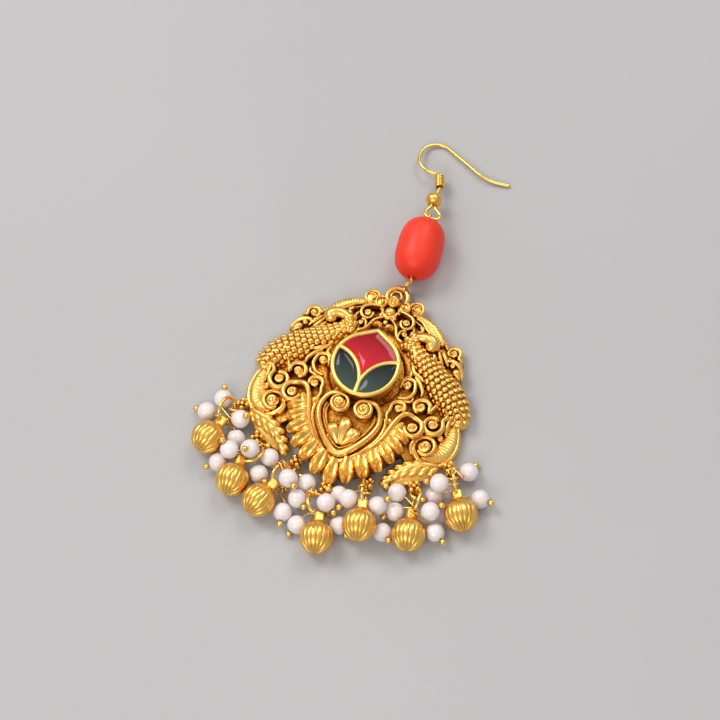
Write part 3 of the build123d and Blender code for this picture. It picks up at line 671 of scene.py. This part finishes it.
Section = namedtuple("Section", "x y half_width top_z")
BODY = [Section(*row) for row in [
    (5.8, 7.7, 1.5, 4.7),
    (6.7, 6.8, 2.05, 5),
    (8.25, 5.5, 2.5, 5.15),
    (10.3, 3.75, 2.9, 5.2),
    (12.8, 1.9, 3.15, 5),
    (15.2, 0.35, 3.15, 4.55),
    (17, -1.35, 2.8, 4.05),
    (18.3, -3.2, 2.2, 3.5),
    (18.9, -4.8, 1.35, 2.9),
]]
BODY_AXIS_Z = 1.6
SCALE_STEP = 1.06       # between rows of scales
SCALE_WIDTH = 1.1       # between scales in a row
SCALE_SINK = 0.22       # of the scales' middles below the back's surface


def make_scales(shape, line, half_width, height):
    """Rows of thick overlapping scales over a rounded back."""
    s = travelled(line)
    for number, place in enumerate(np.arange(0.3, s[-1] - 0.15, SCALE_STEP)):
        at, ahead = placed(line, place), placed(line, place + 0.1)
        way = unit(ahead - at)
        side = unit(np.cross(way, UP))
        w = np.interp(place, s, half_width) - SCALE_SINK
        h = np.interp(place, s, height) - SCALE_SINK
        beads = max(int(math.pi * (w + h) / 2 / SCALE_WIDTH), 3)
        for k in range(beads + 1):
            turn = math.pi * (k + 0.5 * (number % 2)) / beads
            if turn > math.pi - 0.05:
                continue
            turn = max(turn, 0.05)
            out = unit(side * math.cos(turn) / w + UP * math.sin(turn) / h)
            spot = at + side * w * math.cos(turn) + UP * h * math.sin(turn)
            tilted, across = unit(way * 0.9 + out * 0.42), np.cross(way, out)
            axes = np.array([tilted, across, np.cross(tilted, across)])
            ball(shape, spot, 0.61, stretch=(1.15, 0.98, 0.62), axes=axes, sides=16, corner=3.0)


def peacocks(shape):
    """A pair of birds: a body covered in rows of thick scales, and a curled neck."""
    line = smooth([(row.x, row.y, BODY_AXIS_Z) for row in BODY], 8)
    half_width = spread([row.half_width for row in BODY], len(line))
    height = spread([row.top_z - BODY_AXIS_Z for row in BODY], len(line))
    loft(shape, line, half_width - 0.25, height - 0.25, low=0.9, sides=28, ends=(0.05, 0.05))
    make_scales(shape, line, half_width, height)
    neck = [(5.5, 6.1, 4), (5.6, 7.4, 4.3), (6.5, 8.6, 4.5), (7.9, 9.15, 4.6), (9.2, 8.95, 4.6),
            (10, 8.2, 4.4), (9.9, 7.4, 4.1)]
    neck = even(smooth(neck), 0.22)
    loft(shape, neck, [1.25, 1.1, 0.95, 0.9, 0.95, 1.1, 1.1, 0.9],
         [1, 1, 1, 1, 1.1, 1.2, 1], low=2.2, sides=20, ends=(0.1, 0.12))
    collar = neck[: int(0.4 * len(neck))] - UP * 1.2
    make_scales(shape, collar, spread(1.6, len(collar)), spread(2.4, len(collar)))
    ball(shape, (9.6, 8.05, 4.7), 1.2, stretch=(1, 1, 0.8), sides=24, rings=13)
    hoop(shape, (9.55, 8.05, 5.47), (0.1, 0.1, 1), 0.5, 0.13)
    ball(shape, (9.55, 8.05, 5.52), 0.28)
    shape.mirror()


def cupped_petal(shape, centre, radius, opening, gap):
    """A small round petal with a raised rim that is open on one side."""
    ball(shape, centre - UP * 0.4, radius * 0.95, stretch=(1, 1, 0.4), sides=24, rings=13)
    rim = spiral(centre, radius * 0.86, opening + gap / 2, 1 - gap / 360, 1, radius * 0.86)
    strand(shape, rim, 0.12, 0.2 * radius, 0.38, low=0.9)


def rosette(shape):
    """Flower at the top and the ring behind it that the link hangs in."""
    cupped_petal(shape, (2.1, 14, 3.35), 1.2, 160, 90)
    ball(shape, (1.95, 14.1, 3.55), 0.42)
    cupped_petal(shape, (4.2, 14.8, 2.2), 1.5, 215, 70)
    inner = spiral((4.2, 14.8, 2.3), 0.85, 20, 0.75, 1, 0.3, 0.2)
    strand(shape, inner, 0.12, 0.2, 0.35, low=0.9, sides=10)
    for *centre, radius in [(1.6, 12.6, 3.4, 0.42), (1.25, 11.2, 3.9, 0.5), (3, 13.3, 3, 0.4)]:
        ball(shape, centre, radius)
    wing = [(0.25, 8.7, 4.3), (1.1, 9.35, 4.45), (2.05, 8.7, 4.4)]
    strand(shape, wing, 0.12, [0.25, 0.5, 0.45, 0.2], [0.3, 0.5, 0.4], low=0.9, sides=16, ribs=1,
           rib_depth=0.15, ends=(0.2, 0.3))
    shape.mirror()
    cup = spiral((0, 15.85, 3), 0.95, -35, 0.7, 1, 0.95)
    strand(shape, cup, 0.12, 0.24, 0.36, low=1.4)
    coin = [(1, -1.4), (1.1, 0.25), (1.06, 0.4), (0.94, 0.46), (0.82, 0.4), (0.74, 0.28),
            (0.62, 0.28), (0.54, 0.4), (0.42, 0.46), (0.3, 0.4), (0.24, 0.32), (0.14, 0.4),
            (0.02, 0.44)]
    lathe(shape, (0, 14.4, 3.75), np.eye(3), coin, sides=36)
    ball(shape, (0, 12.5, 3.3), 0.95, stretch=(1.1, 1, 0.8), sides=28, rings=15)
    cup = whole([(0, 11.15, 3.7), (1.15, 11.75, 3.6), (1.35, 12.9, 3.4)])
    strand(shape, cup, 0.14, [0.18, 0.4, 0.55, 0.4, 0.18], 0.5, low=0.9, sides=14)
    ball(shape, (0, 10, 4), 0.5, stretch=(1, 1.1, 0.8))
    hoop(shape, (0, 16.2, 1.7), UP, 1.9, 0.54, sides=16, count=64)


# ---- bead clusters
class RingFrame:
    """Where one cluster's jump ring lies: it threads the loop's hole and the bead's neck."""

    def __init__(self, row):
        self.hole = np.array([row.loop_x, row.loop_y, LOOP_Z])
        self.bead = np.array([row.bead_x, row.bead_y, row.bead_z])
        self.neck_way = unit((row.loop_x - row.bead_x, row.loop_y - row.bead_y, 0))
        neck_hole = self.bead + self.neck_way * NECK_HOLE_REACH
        chord = neck_hole - self.hole
        along = unit(chord)
        upright = unit(UP - along * along[2])
        lean = math.radians(row.lean)
        rise = upright * math.cos(lean) + np.cross(along, upright) * math.sin(lean)
        offset = math.sqrt(max(RING_RADIUS ** 2 - (chord @ chord) / 4, 0))
        turn = -math.asin(offset / RING_RADIUS)
        self.tangent_at_hole = rise * math.cos(turn) + along * math.sin(turn)


def loops(shape):
    """A heap of granules and a wire loop for each cluster."""
    for row in CLUSTERS:
        ring = RingFrame(row)
        granule = np.array([row.granule_x, row.granule_y, LOOP_Z])
        outward = unit(ring.hole - granule)
        sideways = np.array([-outward[1], outward[0], 0])
        for along in (-1, 1):
            for aside in (-1, 1):
                spot = granule + (outward * along + sideways * aside) * 0.56
                ball(shape, spot, 0.66, sides=18, rings=11)
                ball(shape, spot + UP * 0.6, 0.46, sides=16)
        ball(shape, granule + UP * 0.95, 0.4)
        axis = ring.tangent_at_hole
        hoop(shape, ring.hole, axis, LOOP_RADIUS, LOOP_WIRE)
        root = granule - outward * 2.2 - UP * 0.75
        near = ring.hole - unit(outward - axis * outward.dot(axis)) * LOOP_RADIUS
        wire_along(shape, np.linspace(root, granule, 6), 0.45, 12)
        wire_along(shape, np.linspace(granule, near, 6), 0.33, 12)


def frame_axes(way):
    """Two directions square to way, and way itself."""
    u = unit(np.cross(way, (0.2, 0.1, 1.0)))
    return np.array([u, np.cross(way, u), way])


FLUTES = 17
# radius, and distance from the bead's middle
MELON_NECK = [(1.0, 2.86), (0.93, 3.0), (0.93, 4.3), (0.88, 4.5), (0.72, 4.63), (0.5, 4.65),
              (0.02, 4.65)]


def melon(shape, row):
    """A hollow-looking fluted bead with a strap-like neck."""
    ring = RingFrame(row)
    lat = np.linspace(0.03, math.pi - 0.33, 46)[:, None]
    lon = around(FLUTES * 12)
    phase = (lon * FLUTES / (2 * math.pi)) % 1
    groove = 1.25 * np.exp(-(((phase - 0.5) / 0.1) ** 2)) - 0.16 * np.cos(2 * math.pi * phase) + 0.16
    deep = 0.1 * np.clip(lat / 0.35, 0, 1) ** 0.7 * np.clip((math.pi - 0.5 - lat) / 1.1, 0, 1)
    reach = MELON_RADIUS - deep * groove
    pole = 0.4 * np.exp(-((lat / 0.16) ** 2))
    rows = polar(np.sin(lat) * reach, lon, -np.cos(lat) * (reach - pole))
    squarish = (np.abs(np.cos(lon)) ** 5 + np.abs(np.sin(lon)) ** 5) ** -0.2
    tube = [polar(r * squarish, lon, z) * (1, 0.85, 1) for r, z in MELON_NECK]
    skin = np.concatenate([rows, np.array(tube)])
    shape.grid(ring.bead + skin @ frame_axes(ring.neck_way))
    hoop(shape, ring.bead + ring.neck_way * 2.92, ring.neck_way, 1.0, 0.17, sides=8, count=32)


def pearls(shape, number):
    """Slightly uneven pearls, each with a small pit where the pin goes through."""
    lat = np.linspace(0.04, math.pi - 0.04, 29)[:, None]
    lon = around(36)
    pit = 0.22 * np.exp(-((np.minimum(lat, math.pi - lat) / 0.2) ** 2))
    for row in (p for p in PEARLS if p.cluster == number):
        elevation = math.radians(row.elevation)
        way = polar(math.cos(elevation), math.radians(row.azimuth), math.sin(elevation))
        uneven = 0.014 * np.sin(2 * lat + row.x) * np.cos(2 * lon + row.y)
        uneven = uneven - 0.012 * np.abs(np.cos(3 * lat + row.y))
        reach = PEARL_RADIUS * (1 + uneven) - pit
        skin = polar(np.sin(lat) * reach, lon, -np.cos(lat) * reach)
        shape.grid((row.x, row.y, row.z) + skin @ frame_axes(way))


# ---- link wire and coil
CORAL_CENTRE = np.array([1.16, 25.7, 4.25])
CORAL_LEAN = math.radians(5)
CORAL_HALF = 6.0
CORAL_RADIUS = 4.2
CORAL_WAY = np.array([-math.sin(CORAL_LEAN), math.cos(CORAL_LEAN), 0])
LOWER_EYE = np.array([0.7, 18.02, 1.7])
LOWER_EYE_RADIUS = 0.8
UPPER_EYE_RADIUS = 0.62
COIL_TURNS = 6.5


HOOK_RISE = 12.16
HOOK_FALL_X = 0.0752
HOOK_FALL_Y = 0.2454


def hook_point(x, y):
    """The point of the hook's leaning plane above a place on the floor."""
    return np.array([x, y, HOOK_RISE - HOOK_FALL_X * x - HOOK_FALL_Y * y])


def helix(path, radius, pitch, phase):
    """A line that winds round another one."""
    length = travelled(path)[-1]
    fine = np.linspace(0, length, int(length / pitch * 14) + 2)
    centre = placed(path, fine)
    along = unit(np.gradient(centre, axis=0))
    side = unit(np.cross(along, (0.9, 0.1, 0.2)))
    return centre + radius * circle(2 * math.pi * fine / pitch + phase, side, np.cross(along, side))


def link(shape):
    """Two strands twisted together through the coral bead, with an eye at each end."""
    upper_eye = hook_point(0.85, 32.15)
    route = np.array([
        LOWER_EYE + (0, LOWER_EYE_RADIUS, 0),
        CORAL_CENTRE - CORAL_WAY * (CORAL_HALF + 0.45),
        CORAL_CENTRE + CORAL_WAY * (CORAL_HALF - 0.9),
        upper_eye - (0, UPPER_EYE_RADIUS, 0),
    ])
    for phase in (0, math.pi):
        wire_along(shape, helix(route, 0.12, 1.05, phase), 0.12)
    wrap = np.array([route[0] + (0, 0.05, 0.05), route[0] * 0.2 + route[1] * 0.8])
    wire_along(shape, helix(wrap, 0.3, 0.3, 0.5), 0.11)
    for x in (-0.1, 0.1):
        hoop(shape, LOWER_EYE + (x, 0, 0), (1, 0.12 * x, 0), LOWER_EYE_RADIUS, 0.12)
    hoop(shape, upper_eye, (1, 0, 0), UPPER_EYE_RADIUS, 0.18)
    wrap = np.array([route[3] + (0, -0.7, -0.1), route[3] + (0, -0.05, 0)])
    wire_along(shape, helix(wrap, 0.28, 0.27, 0.5), 0.11)


def coil(shape):
    """The coil of thin wire on the hook's shank, with its real turns."""
    start, end = hook_point(-0.62, 41.85), hook_point(0.25, 39.3)
    pitch = np.linalg.norm(end - start) / COIL_TURNS
    wire_along(shape, helix(np.linspace(start, end, 12), 0.76, pitch, 0.0), 0.21, 10)


HOOK_CORNERS = [
    (12.15, 44.45, 0), (7.6, 44.07, 8), (-5.65, 50.56, 3.25), (-5.65, 42.05, 3.25),
    (-0.7, 42.05, 0.8), (0.3, 39.2, 2), (0.15, 34.5, 1.2), (-0.95, 32.15, 1.1),
    (2.75, 32.15, 0.78), (2.4, 33.4, 0.4), (0.75, 34.8, 0),
]
HOOK_WIRE = 0.325


def hook(shape):
    """The fish-hook wire in its leaning plane, with rounded ends."""
    path = even(np.array([hook_point(x, y) for x, y in rounded(HOOK_CORNERS)]), 0.16)
    wire_along(shape, path, HOOK_WIRE * round_ends(len(path), 0.006, 0.006), 16)


def hook_ball(shape):
    """A slightly flattened bead on the shank, pitted where the wire goes in."""
    axes = frame_axes(unit(hook_point(0.3, 39.2) - hook_point(0.15, 34.5)))
    lat = np.linspace(0.06, math.pi - 0.06, 33)
    dimple = 0.25 * np.exp(-((np.minimum(lat, math.pi - lat) / 0.3) ** 2))
    profile = zip(1.5 * np.sin(lat), -np.cos(lat) * (1.32 - dimple))
    lathe(shape, hook_point(0.2, 36.24), axes, list(profile))


def coral_bead(shape):
    """A plump barrel with softly rounded ends, sunk a little round its holes."""
    along = np.linspace(-0.992, 0.992, 71)
    radius = CORAL_RADIUS * (1 - np.abs(along) ** 3.0) ** (1 / 2.25)
    barrel = list(zip(radius, along * CORAL_HALF))
    sunk = CORAL_HALF - 0.7
    profile = [(0.02, -sunk), (0.7, -sunk)] + barrel + [(0.7, sunk), (0.02, sunk)]
    lathe(shape, CORAL_CENTRE, frame_axes(CORAL_WAY), profile, sides=72)


# ---- materials
def put(tree, socket, value):
    """Links a socket to another one, or gives it a value of its own."""
    if isinstance(value, bpy.types.NodeSocket):
        tree.links.new(value, socket)
    else:
        socket.default_value = value


def new_material(name, **sockets):
    material = bpy.data.materials.new(name)
    material.use_nodes = True
    shader = material.node_tree.nodes["Principled BSDF"]
    for socket, value in sockets.items():
        shader.inputs[socket.replace("_", " ")].default_value = value
    return material, material.node_tree, shader


def add(tree, kind, inputs=None, **settings):
    """A new node, with its settings and with a value or a link for each input named."""
    node = tree.nodes.new(kind)
    for key, value in settings.items():
        setattr(node, key, value)
    for key, value in (inputs or {}).items():
        put(tree, node.inputs[key], value)
    return node


def calculate(tree, operation, *values):
    return add(tree, "ShaderNodeMath", dict(enumerate(values)), operation=operation).outputs[0]


def object_place(tree):
    return add(tree, "ShaderNodeTexCoord").outputs["Object"]


def noise(tree, scale, detail=3.0, roughness=0.5, distortion=0.0):
    inputs = {"Vector": object_place(tree), "Scale": scale, "Detail": detail,
              "Roughness": roughness, "Distortion": distortion}
    return add(tree, "ShaderNodeTexNoise", inputs).outputs["Fac"]


def ramp(tree, value, *stops):
    """A colour ramp; each stop is a place and a colour or a grey level."""
    node = add(tree, "ShaderNodeValToRGB", {"Fac": value})
    elements = node.color_ramp.elements
    while len(elements) < len(stops):
        elements.new(0.5)
    for element, (place, colour) in zip(elements, stops):
        element.position = place
        element.color = (*colour, 1) if isinstance(colour, tuple) else (colour,) * 3 + (1,)
    return node.outputs["Color"]


def mix(tree, factor, a, b):
    """A mix from one colour link to a colour of its own."""
    # a mix node's sockets for colours are 6 and 7
    return add(tree, "ShaderNodeMix", {0: factor, 6: a, 7: (*b, 1)}, data_type="RGBA").outputs[2]


def bump(tree, shader, height, strength, distance):
    inputs = {"Strength": strength, "Distance": distance, "Height": height}
    put(tree, shader.inputs["Normal"], add(tree, "ShaderNodeBump", inputs).outputs["Normal"])


def stipple(tree, scale):
    """Close round grains."""
    inputs = {"Scale": scale, "Vector": object_place(tree)}
    node = add(tree, "ShaderNodeTexVoronoi", inputs, feature="SMOOTH_F1")
    return ramp(tree, node.outputs["Distance"], (0.0, 1.0), (0.6, 0.0))


def gold(name, bright, middle, dark, roughness, depth=0.0012, dark_until=0.35, bright_from=0.8,
         grains=0.0, unevenness=0.00006):
    """Gold-plated metal: bright on what stands out, with painted shade and dark patina in the
    crevices, darkened by ambient occlusion.
    """
    material, tree, shader = new_material(name, Metallic=1.0)
    # ambient occlusion, near 0 in crevices and 1 in the open; it paints shade, along with patina,
    # into the colour of the crevices
    openness = add(tree, "ShaderNodeAmbientOcclusion", {"Distance": depth}, samples=8).outputs["AO"]
    patchy = noise(tree, 420.0, 4.0, 0.6)
    level = calculate(tree, "MULTIPLY_ADD", patchy, 0.24, openness)
    level = calculate(tree, "SUBTRACT", level, 0.12)
    colour = ramp(tree, level, (dark_until * 0.45, dark), (dark_until + 0.15, middle),
                  (bright_from + 0.12, bright))
    put(tree, shader.inputs["Base Color"], colour)
    rough = ramp(tree, patchy, (0.3, roughness * 0.85), (0.75, roughness * 1.25))
    put(tree, shader.inputs["Roughness"], rough)
    if grains:
        bump(tree, shader, stipple(tree, grains), 0.8, 0.00012)
    else:
        bump(tree, shader, noise(tree, 1600.0, 2.0), 0.25, unevenness)
    return material


def make_pearl_material():
    material, tree, shader = new_material(
        "pearl", Roughness=0.22, Coat_Weight=0.6, Coat_Roughness=0.1, Sheen_Weight=0.1,
        Subsurface_Weight=0.12, Subsurface_Radius=(0.0006, 0.0004, 0.0003))
    colour = ramp(tree, noise(tree, 260.0), (0.3, (0.90, 0.77, 0.74)),
                  (0.52, (0.95, 0.86, 0.83)), (0.75, (0.97, 0.91, 0.89)))
    # painted shade: the colour turns a darker grey-pink where the surface faces away from the camera,
    # towards each pearl's rim
    facing = add(tree, "ShaderNodeLayerWeight", {"Blend": 0.35}).outputs["Facing"]
    put(tree, shader.inputs["Base Color"], mix(tree, facing, colour, (0.82, 0.74, 0.74)))
    bump(tree, shader, noise(tree, 1500.0, 2.0), 0.12, 0.00004)
    return material


def along_y(tree, start, end):
    """0 to 1 between two places along y, in millimetres."""
    split = add(tree, "ShaderNodeSeparateXYZ", {0: object_place(tree)})
    inputs = {"Value": split.outputs["Y"], "From Min": start * MM, "From Max": end * MM}
    return add(tree, "ShaderNodeMapRange", inputs).outputs["Result"]


def make_stone_material(name, low, high, *stops):
    """Glossy stone with painted light and shade: its colour is lighter at the lower end and gets
    darker towards the hook.
    """
    material, tree, shader = new_material(name, Roughness=0.07, IOR=1.42)
    cloud = noise(tree, 110.0, 3.0, 0.5, 0.6)
    # painted light and shade along y, broken up by a random cloud of tone
    place = calculate(tree, "MULTIPLY_ADD", cloud, 0.3, along_y(tree, low, high))
    put(tree, shader.inputs["Base Color"], ramp(tree, place, *stops))
    bump(tree, shader, noise(tree, 350.0, 1.0), 0.04, 0.00006)
    return material


def make_coral_material():
    material, tree, shader = new_material(
        "coral", Roughness=0.42, IOR=1.45, Subsurface_Weight=0.04,
        Subsurface_Radius=(0.0008, 0.0003, 0.0002))
    colour = ramp(tree, noise(tree, 130.0, 3.0, 0.55, 0.4), (0.3, (0.88, 0.030, 0.009)),
                  (0.7, (0.97, 0.055, 0.020)))
    put(tree, shader.inputs["Base Color"], colour)
    bump(tree, shader, noise(tree, 700.0, 2.0), 0.1, 0.00005)
    return material


def keep_cad(node, material):
    """A CAD node that is shown as it is, in a better material."""
    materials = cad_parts[node].data.materials
    materials.clear()
    materials.append(material)


# ---- floor, light and camera
# the floor's sizes and the lamps' places are in metres
FLOOR_HALF = 1.6
FLOOR_LINES = 9
FLOOR_DROP = 0.00002
LAMP_AIM = (0.0, 0.0, 0.0)


def in_scene(name, data):
    thing = bpy.data.objects.new(name, data)
    bpy.context.scene.collection.objects.link(thing)
    return thing


def make_floor():
    material, tree, shader = new_material("floor", Roughness=0.75, Specular_IOR_Level=0.2)
    colour = ramp(tree, noise(tree, 6.0, 4.0), (0.3, (0.49, 0.48, 0.48)), (0.7, (0.53, 0.52, 0.52)))
    put(tree, shader.inputs["Base Color"], colour)
    bump(tree, shader, noise(tree, 900.0, 4.0, 0.6), 0.12, 0.0002)
    ticks = np.linspace(-FLOOR_HALF, FLOOR_HALF, FLOOR_LINES)
    points = [(x, y, -FLOOR_DROP) for y in ticks for x in ticks]
    corners = [r * FLOOR_LINES + c for r in range(FLOOR_LINES - 1) for c in range(FLOOR_LINES - 1)]
    faces = [(k, k + 1, k + 1 + FLOOR_LINES, k + FLOOR_LINES) for k in corners]
    mesh = bpy.data.meshes.new("floor")
    mesh.from_pydata(points, [], faces)
    mesh.materials.append(material)
    in_scene("floor", mesh)


def area_light(name, place, size, power):
    light = bpy.data.lights.new(name, "AREA")
    light.shape = "RECTANGLE"
    light.size, light.size_y = size
    light.energy = power
    lamp = in_scene(name, light)
    lamp.location = place
    lamp.rotation_mode = "QUATERNION"
    lamp.rotation_quaternion = (Vector(place) - Vector(LAMP_AIM)).to_track_quat("Z", "Y")


def make_world():
    """A soft studio dome, brighter overhead than at the horizon."""
    world = bpy.data.worlds.new("studio")
    world.use_nodes = True
    tree = world.node_tree
    place = add(tree, "ShaderNodeTexCoord").outputs["Generated"]
    split = add(tree, "ShaderNodeSeparateXYZ", {0: place})
    colour = ramp(tree, split.outputs["Z"], (0.0, 0.30), (0.5, 0.46), (1.0, 0.62))
    seen = add(tree, "ShaderNodeLightPath").outputs["Is Camera Ray"]
    shown = mix(tree, seen, colour, (0.80, 0.79, 0.79))
    put(tree, tree.nodes["Background"].inputs["Color"], shown)
    bpy.context.scene.world = world


LOOK_AT = np.array([-2.75, 3.24, 0.0])
FRAME_WIDTH = 130.2     # that the picture spans at LOOK_AT
LENS = 135.0
SENSOR = 36.0
# the picture's own right and up, in the scene's directions
CAMERA_RIGHT = (0.9403, 0.3337, -0.0678)
CAMERA_UP = (-0.2839, 0.8783, 0.3848)


def make_camera():
    right = unit(CAMERA_RIGHT)
    back = unit(np.cross(right, CAMERA_UP))
    place = (LOOK_AT + back * FRAME_WIDTH * LENS / SENSOR) * MM
    data = bpy.data.cameras.new("camera")
    data.lens = LENS
    data.sensor_width = SENSOR
    data.clip_start = 0.01
    camera = in_scene("camera", data)
    turn = np.eye(4)
    turn[:3] = np.column_stack([right, np.cross(back, right), back, place])
    camera.matrix_world = Matrix(turn.tolist())
    bpy.context.scene.camera = camera


# ---- the whole scene
# each gold here has painted shade and patina in its crevices, put in its colour by ambient occlusion
# in gold()
antique = gold("antique_gold", (1.0, 0.62, 0.17), (0.90, 0.43, 0.065), (0.17, 0.038, 0.005), 0.28,
               dark_until=0.28, bright_from=0.66)
ground_gold = gold("ground_gold", (0.95, 0.55, 0.13), (0.66, 0.30, 0.045), (0.12, 0.03, 0.004), 0.42,
                   depth=0.003, grains=2300.0)
setting_gold = gold("setting_gold", (1.0, 0.70, 0.20), (0.98, 0.56, 0.12), (0.22, 0.06, 0.01), 0.36,
                    depth=0.0007, unevenness=0.00003)
bead_gold = gold("bead_gold", (1.0, 0.60, 0.14), (0.90, 0.45, 0.065), (0.34, 0.10, 0.01), 0.3)
wire_gold = gold("wire_gold", (1.0, 0.68, 0.18), (0.92, 0.52, 0.11), (0.50, 0.22, 0.03), 0.22,
                 depth=0.0008, unevenness=0.00002)
pearl_finish = make_pearl_material()
ruby = make_stone_material("ruby_stone", -5.0, 7.0, (0.2, (0.88, 0.034, 0.055)),
                           (0.55, (0.70, 0.018, 0.036)), (1.0, (0.30, 0.004, 0.010)))
green = make_stone_material("green_stone", -6.0, 2.0, (0.15, (0.060, 0.100, 0.074)),
                            (0.6, (0.036, 0.050, 0.044)), (1.0, (0.010, 0.010, 0.010)))
coral = make_coral_material()

castings = {
    "ground": (ground_gold, ground),
    "heart": (antique, heart),
    "petals": (antique, petals),
    "scrolls": (antique, scrolls),
    "leaves": (antique, leaves),
    "peacocks": (antique, peacocks),
    "rosette": (antique, rosette),
    "loops": (wire_gold, loops),
}
for name, (material, fill) in castings.items():
    build(f"casting_{name}", "pendant_casting", material, "antique_gold", fill)
build("setting", "stone_setting", setting_gold, "setting_gold", setting)
build("ruby_top", "red_stone", ruby, "ruby_stone", stone, (0.0, 2.6), 0,
      smooth_angle=FACET_ANGLE)
for name, side in (("right", 1), ("left", -1)):
    build(f"green_{name}", f"green_stone_{name}", green, "green_stone", stone,
          (3.3 * side, -2.3), side, smooth_angle=FACET_ANGLE)
build("link_wire", "bead_wire", wire_gold, "wire_gold", link)
build("coil", "hook_coil", wire_gold, "wire_gold", coil)
build("hook", "hook_wire", wire_gold, "wire_gold", hook)
build("ball", "hook_ball", bead_gold, "bead_gold", hook_ball)
build("coral", "coral_bead", coral, "coral", coral_bead)
for number, row in enumerate(CLUSTERS, start=1):
    build(f"melon_{number}", f"melon_bead_{number}", bead_gold, "bead_gold", melon, row)
    build(f"pearl_group_{number}", f"pearls_{number}", pearl_finish, "pearl", pearls, number,
          smooth_angle=180)
    keep_cad(f"jump_ring_{number}", wire_gold)
    keep_cad(f"pearl_pins_{number}", wire_gold)

make_floor()
make_world()
area_light("key", (-0.52, 0.19, 0.76), (0.4, 0.4), 3.3)
area_light("back", (0.12, 0.66, 0.76), (0.36, 0.4), 2.1)
area_light("front", (-0.1, -0.75, 0.62), (0.6, 0.4), 2.4)
make_camera()
bpy.context.scene.view_settings.view_transform = "Standard"

bpy.context.view_layer.update()
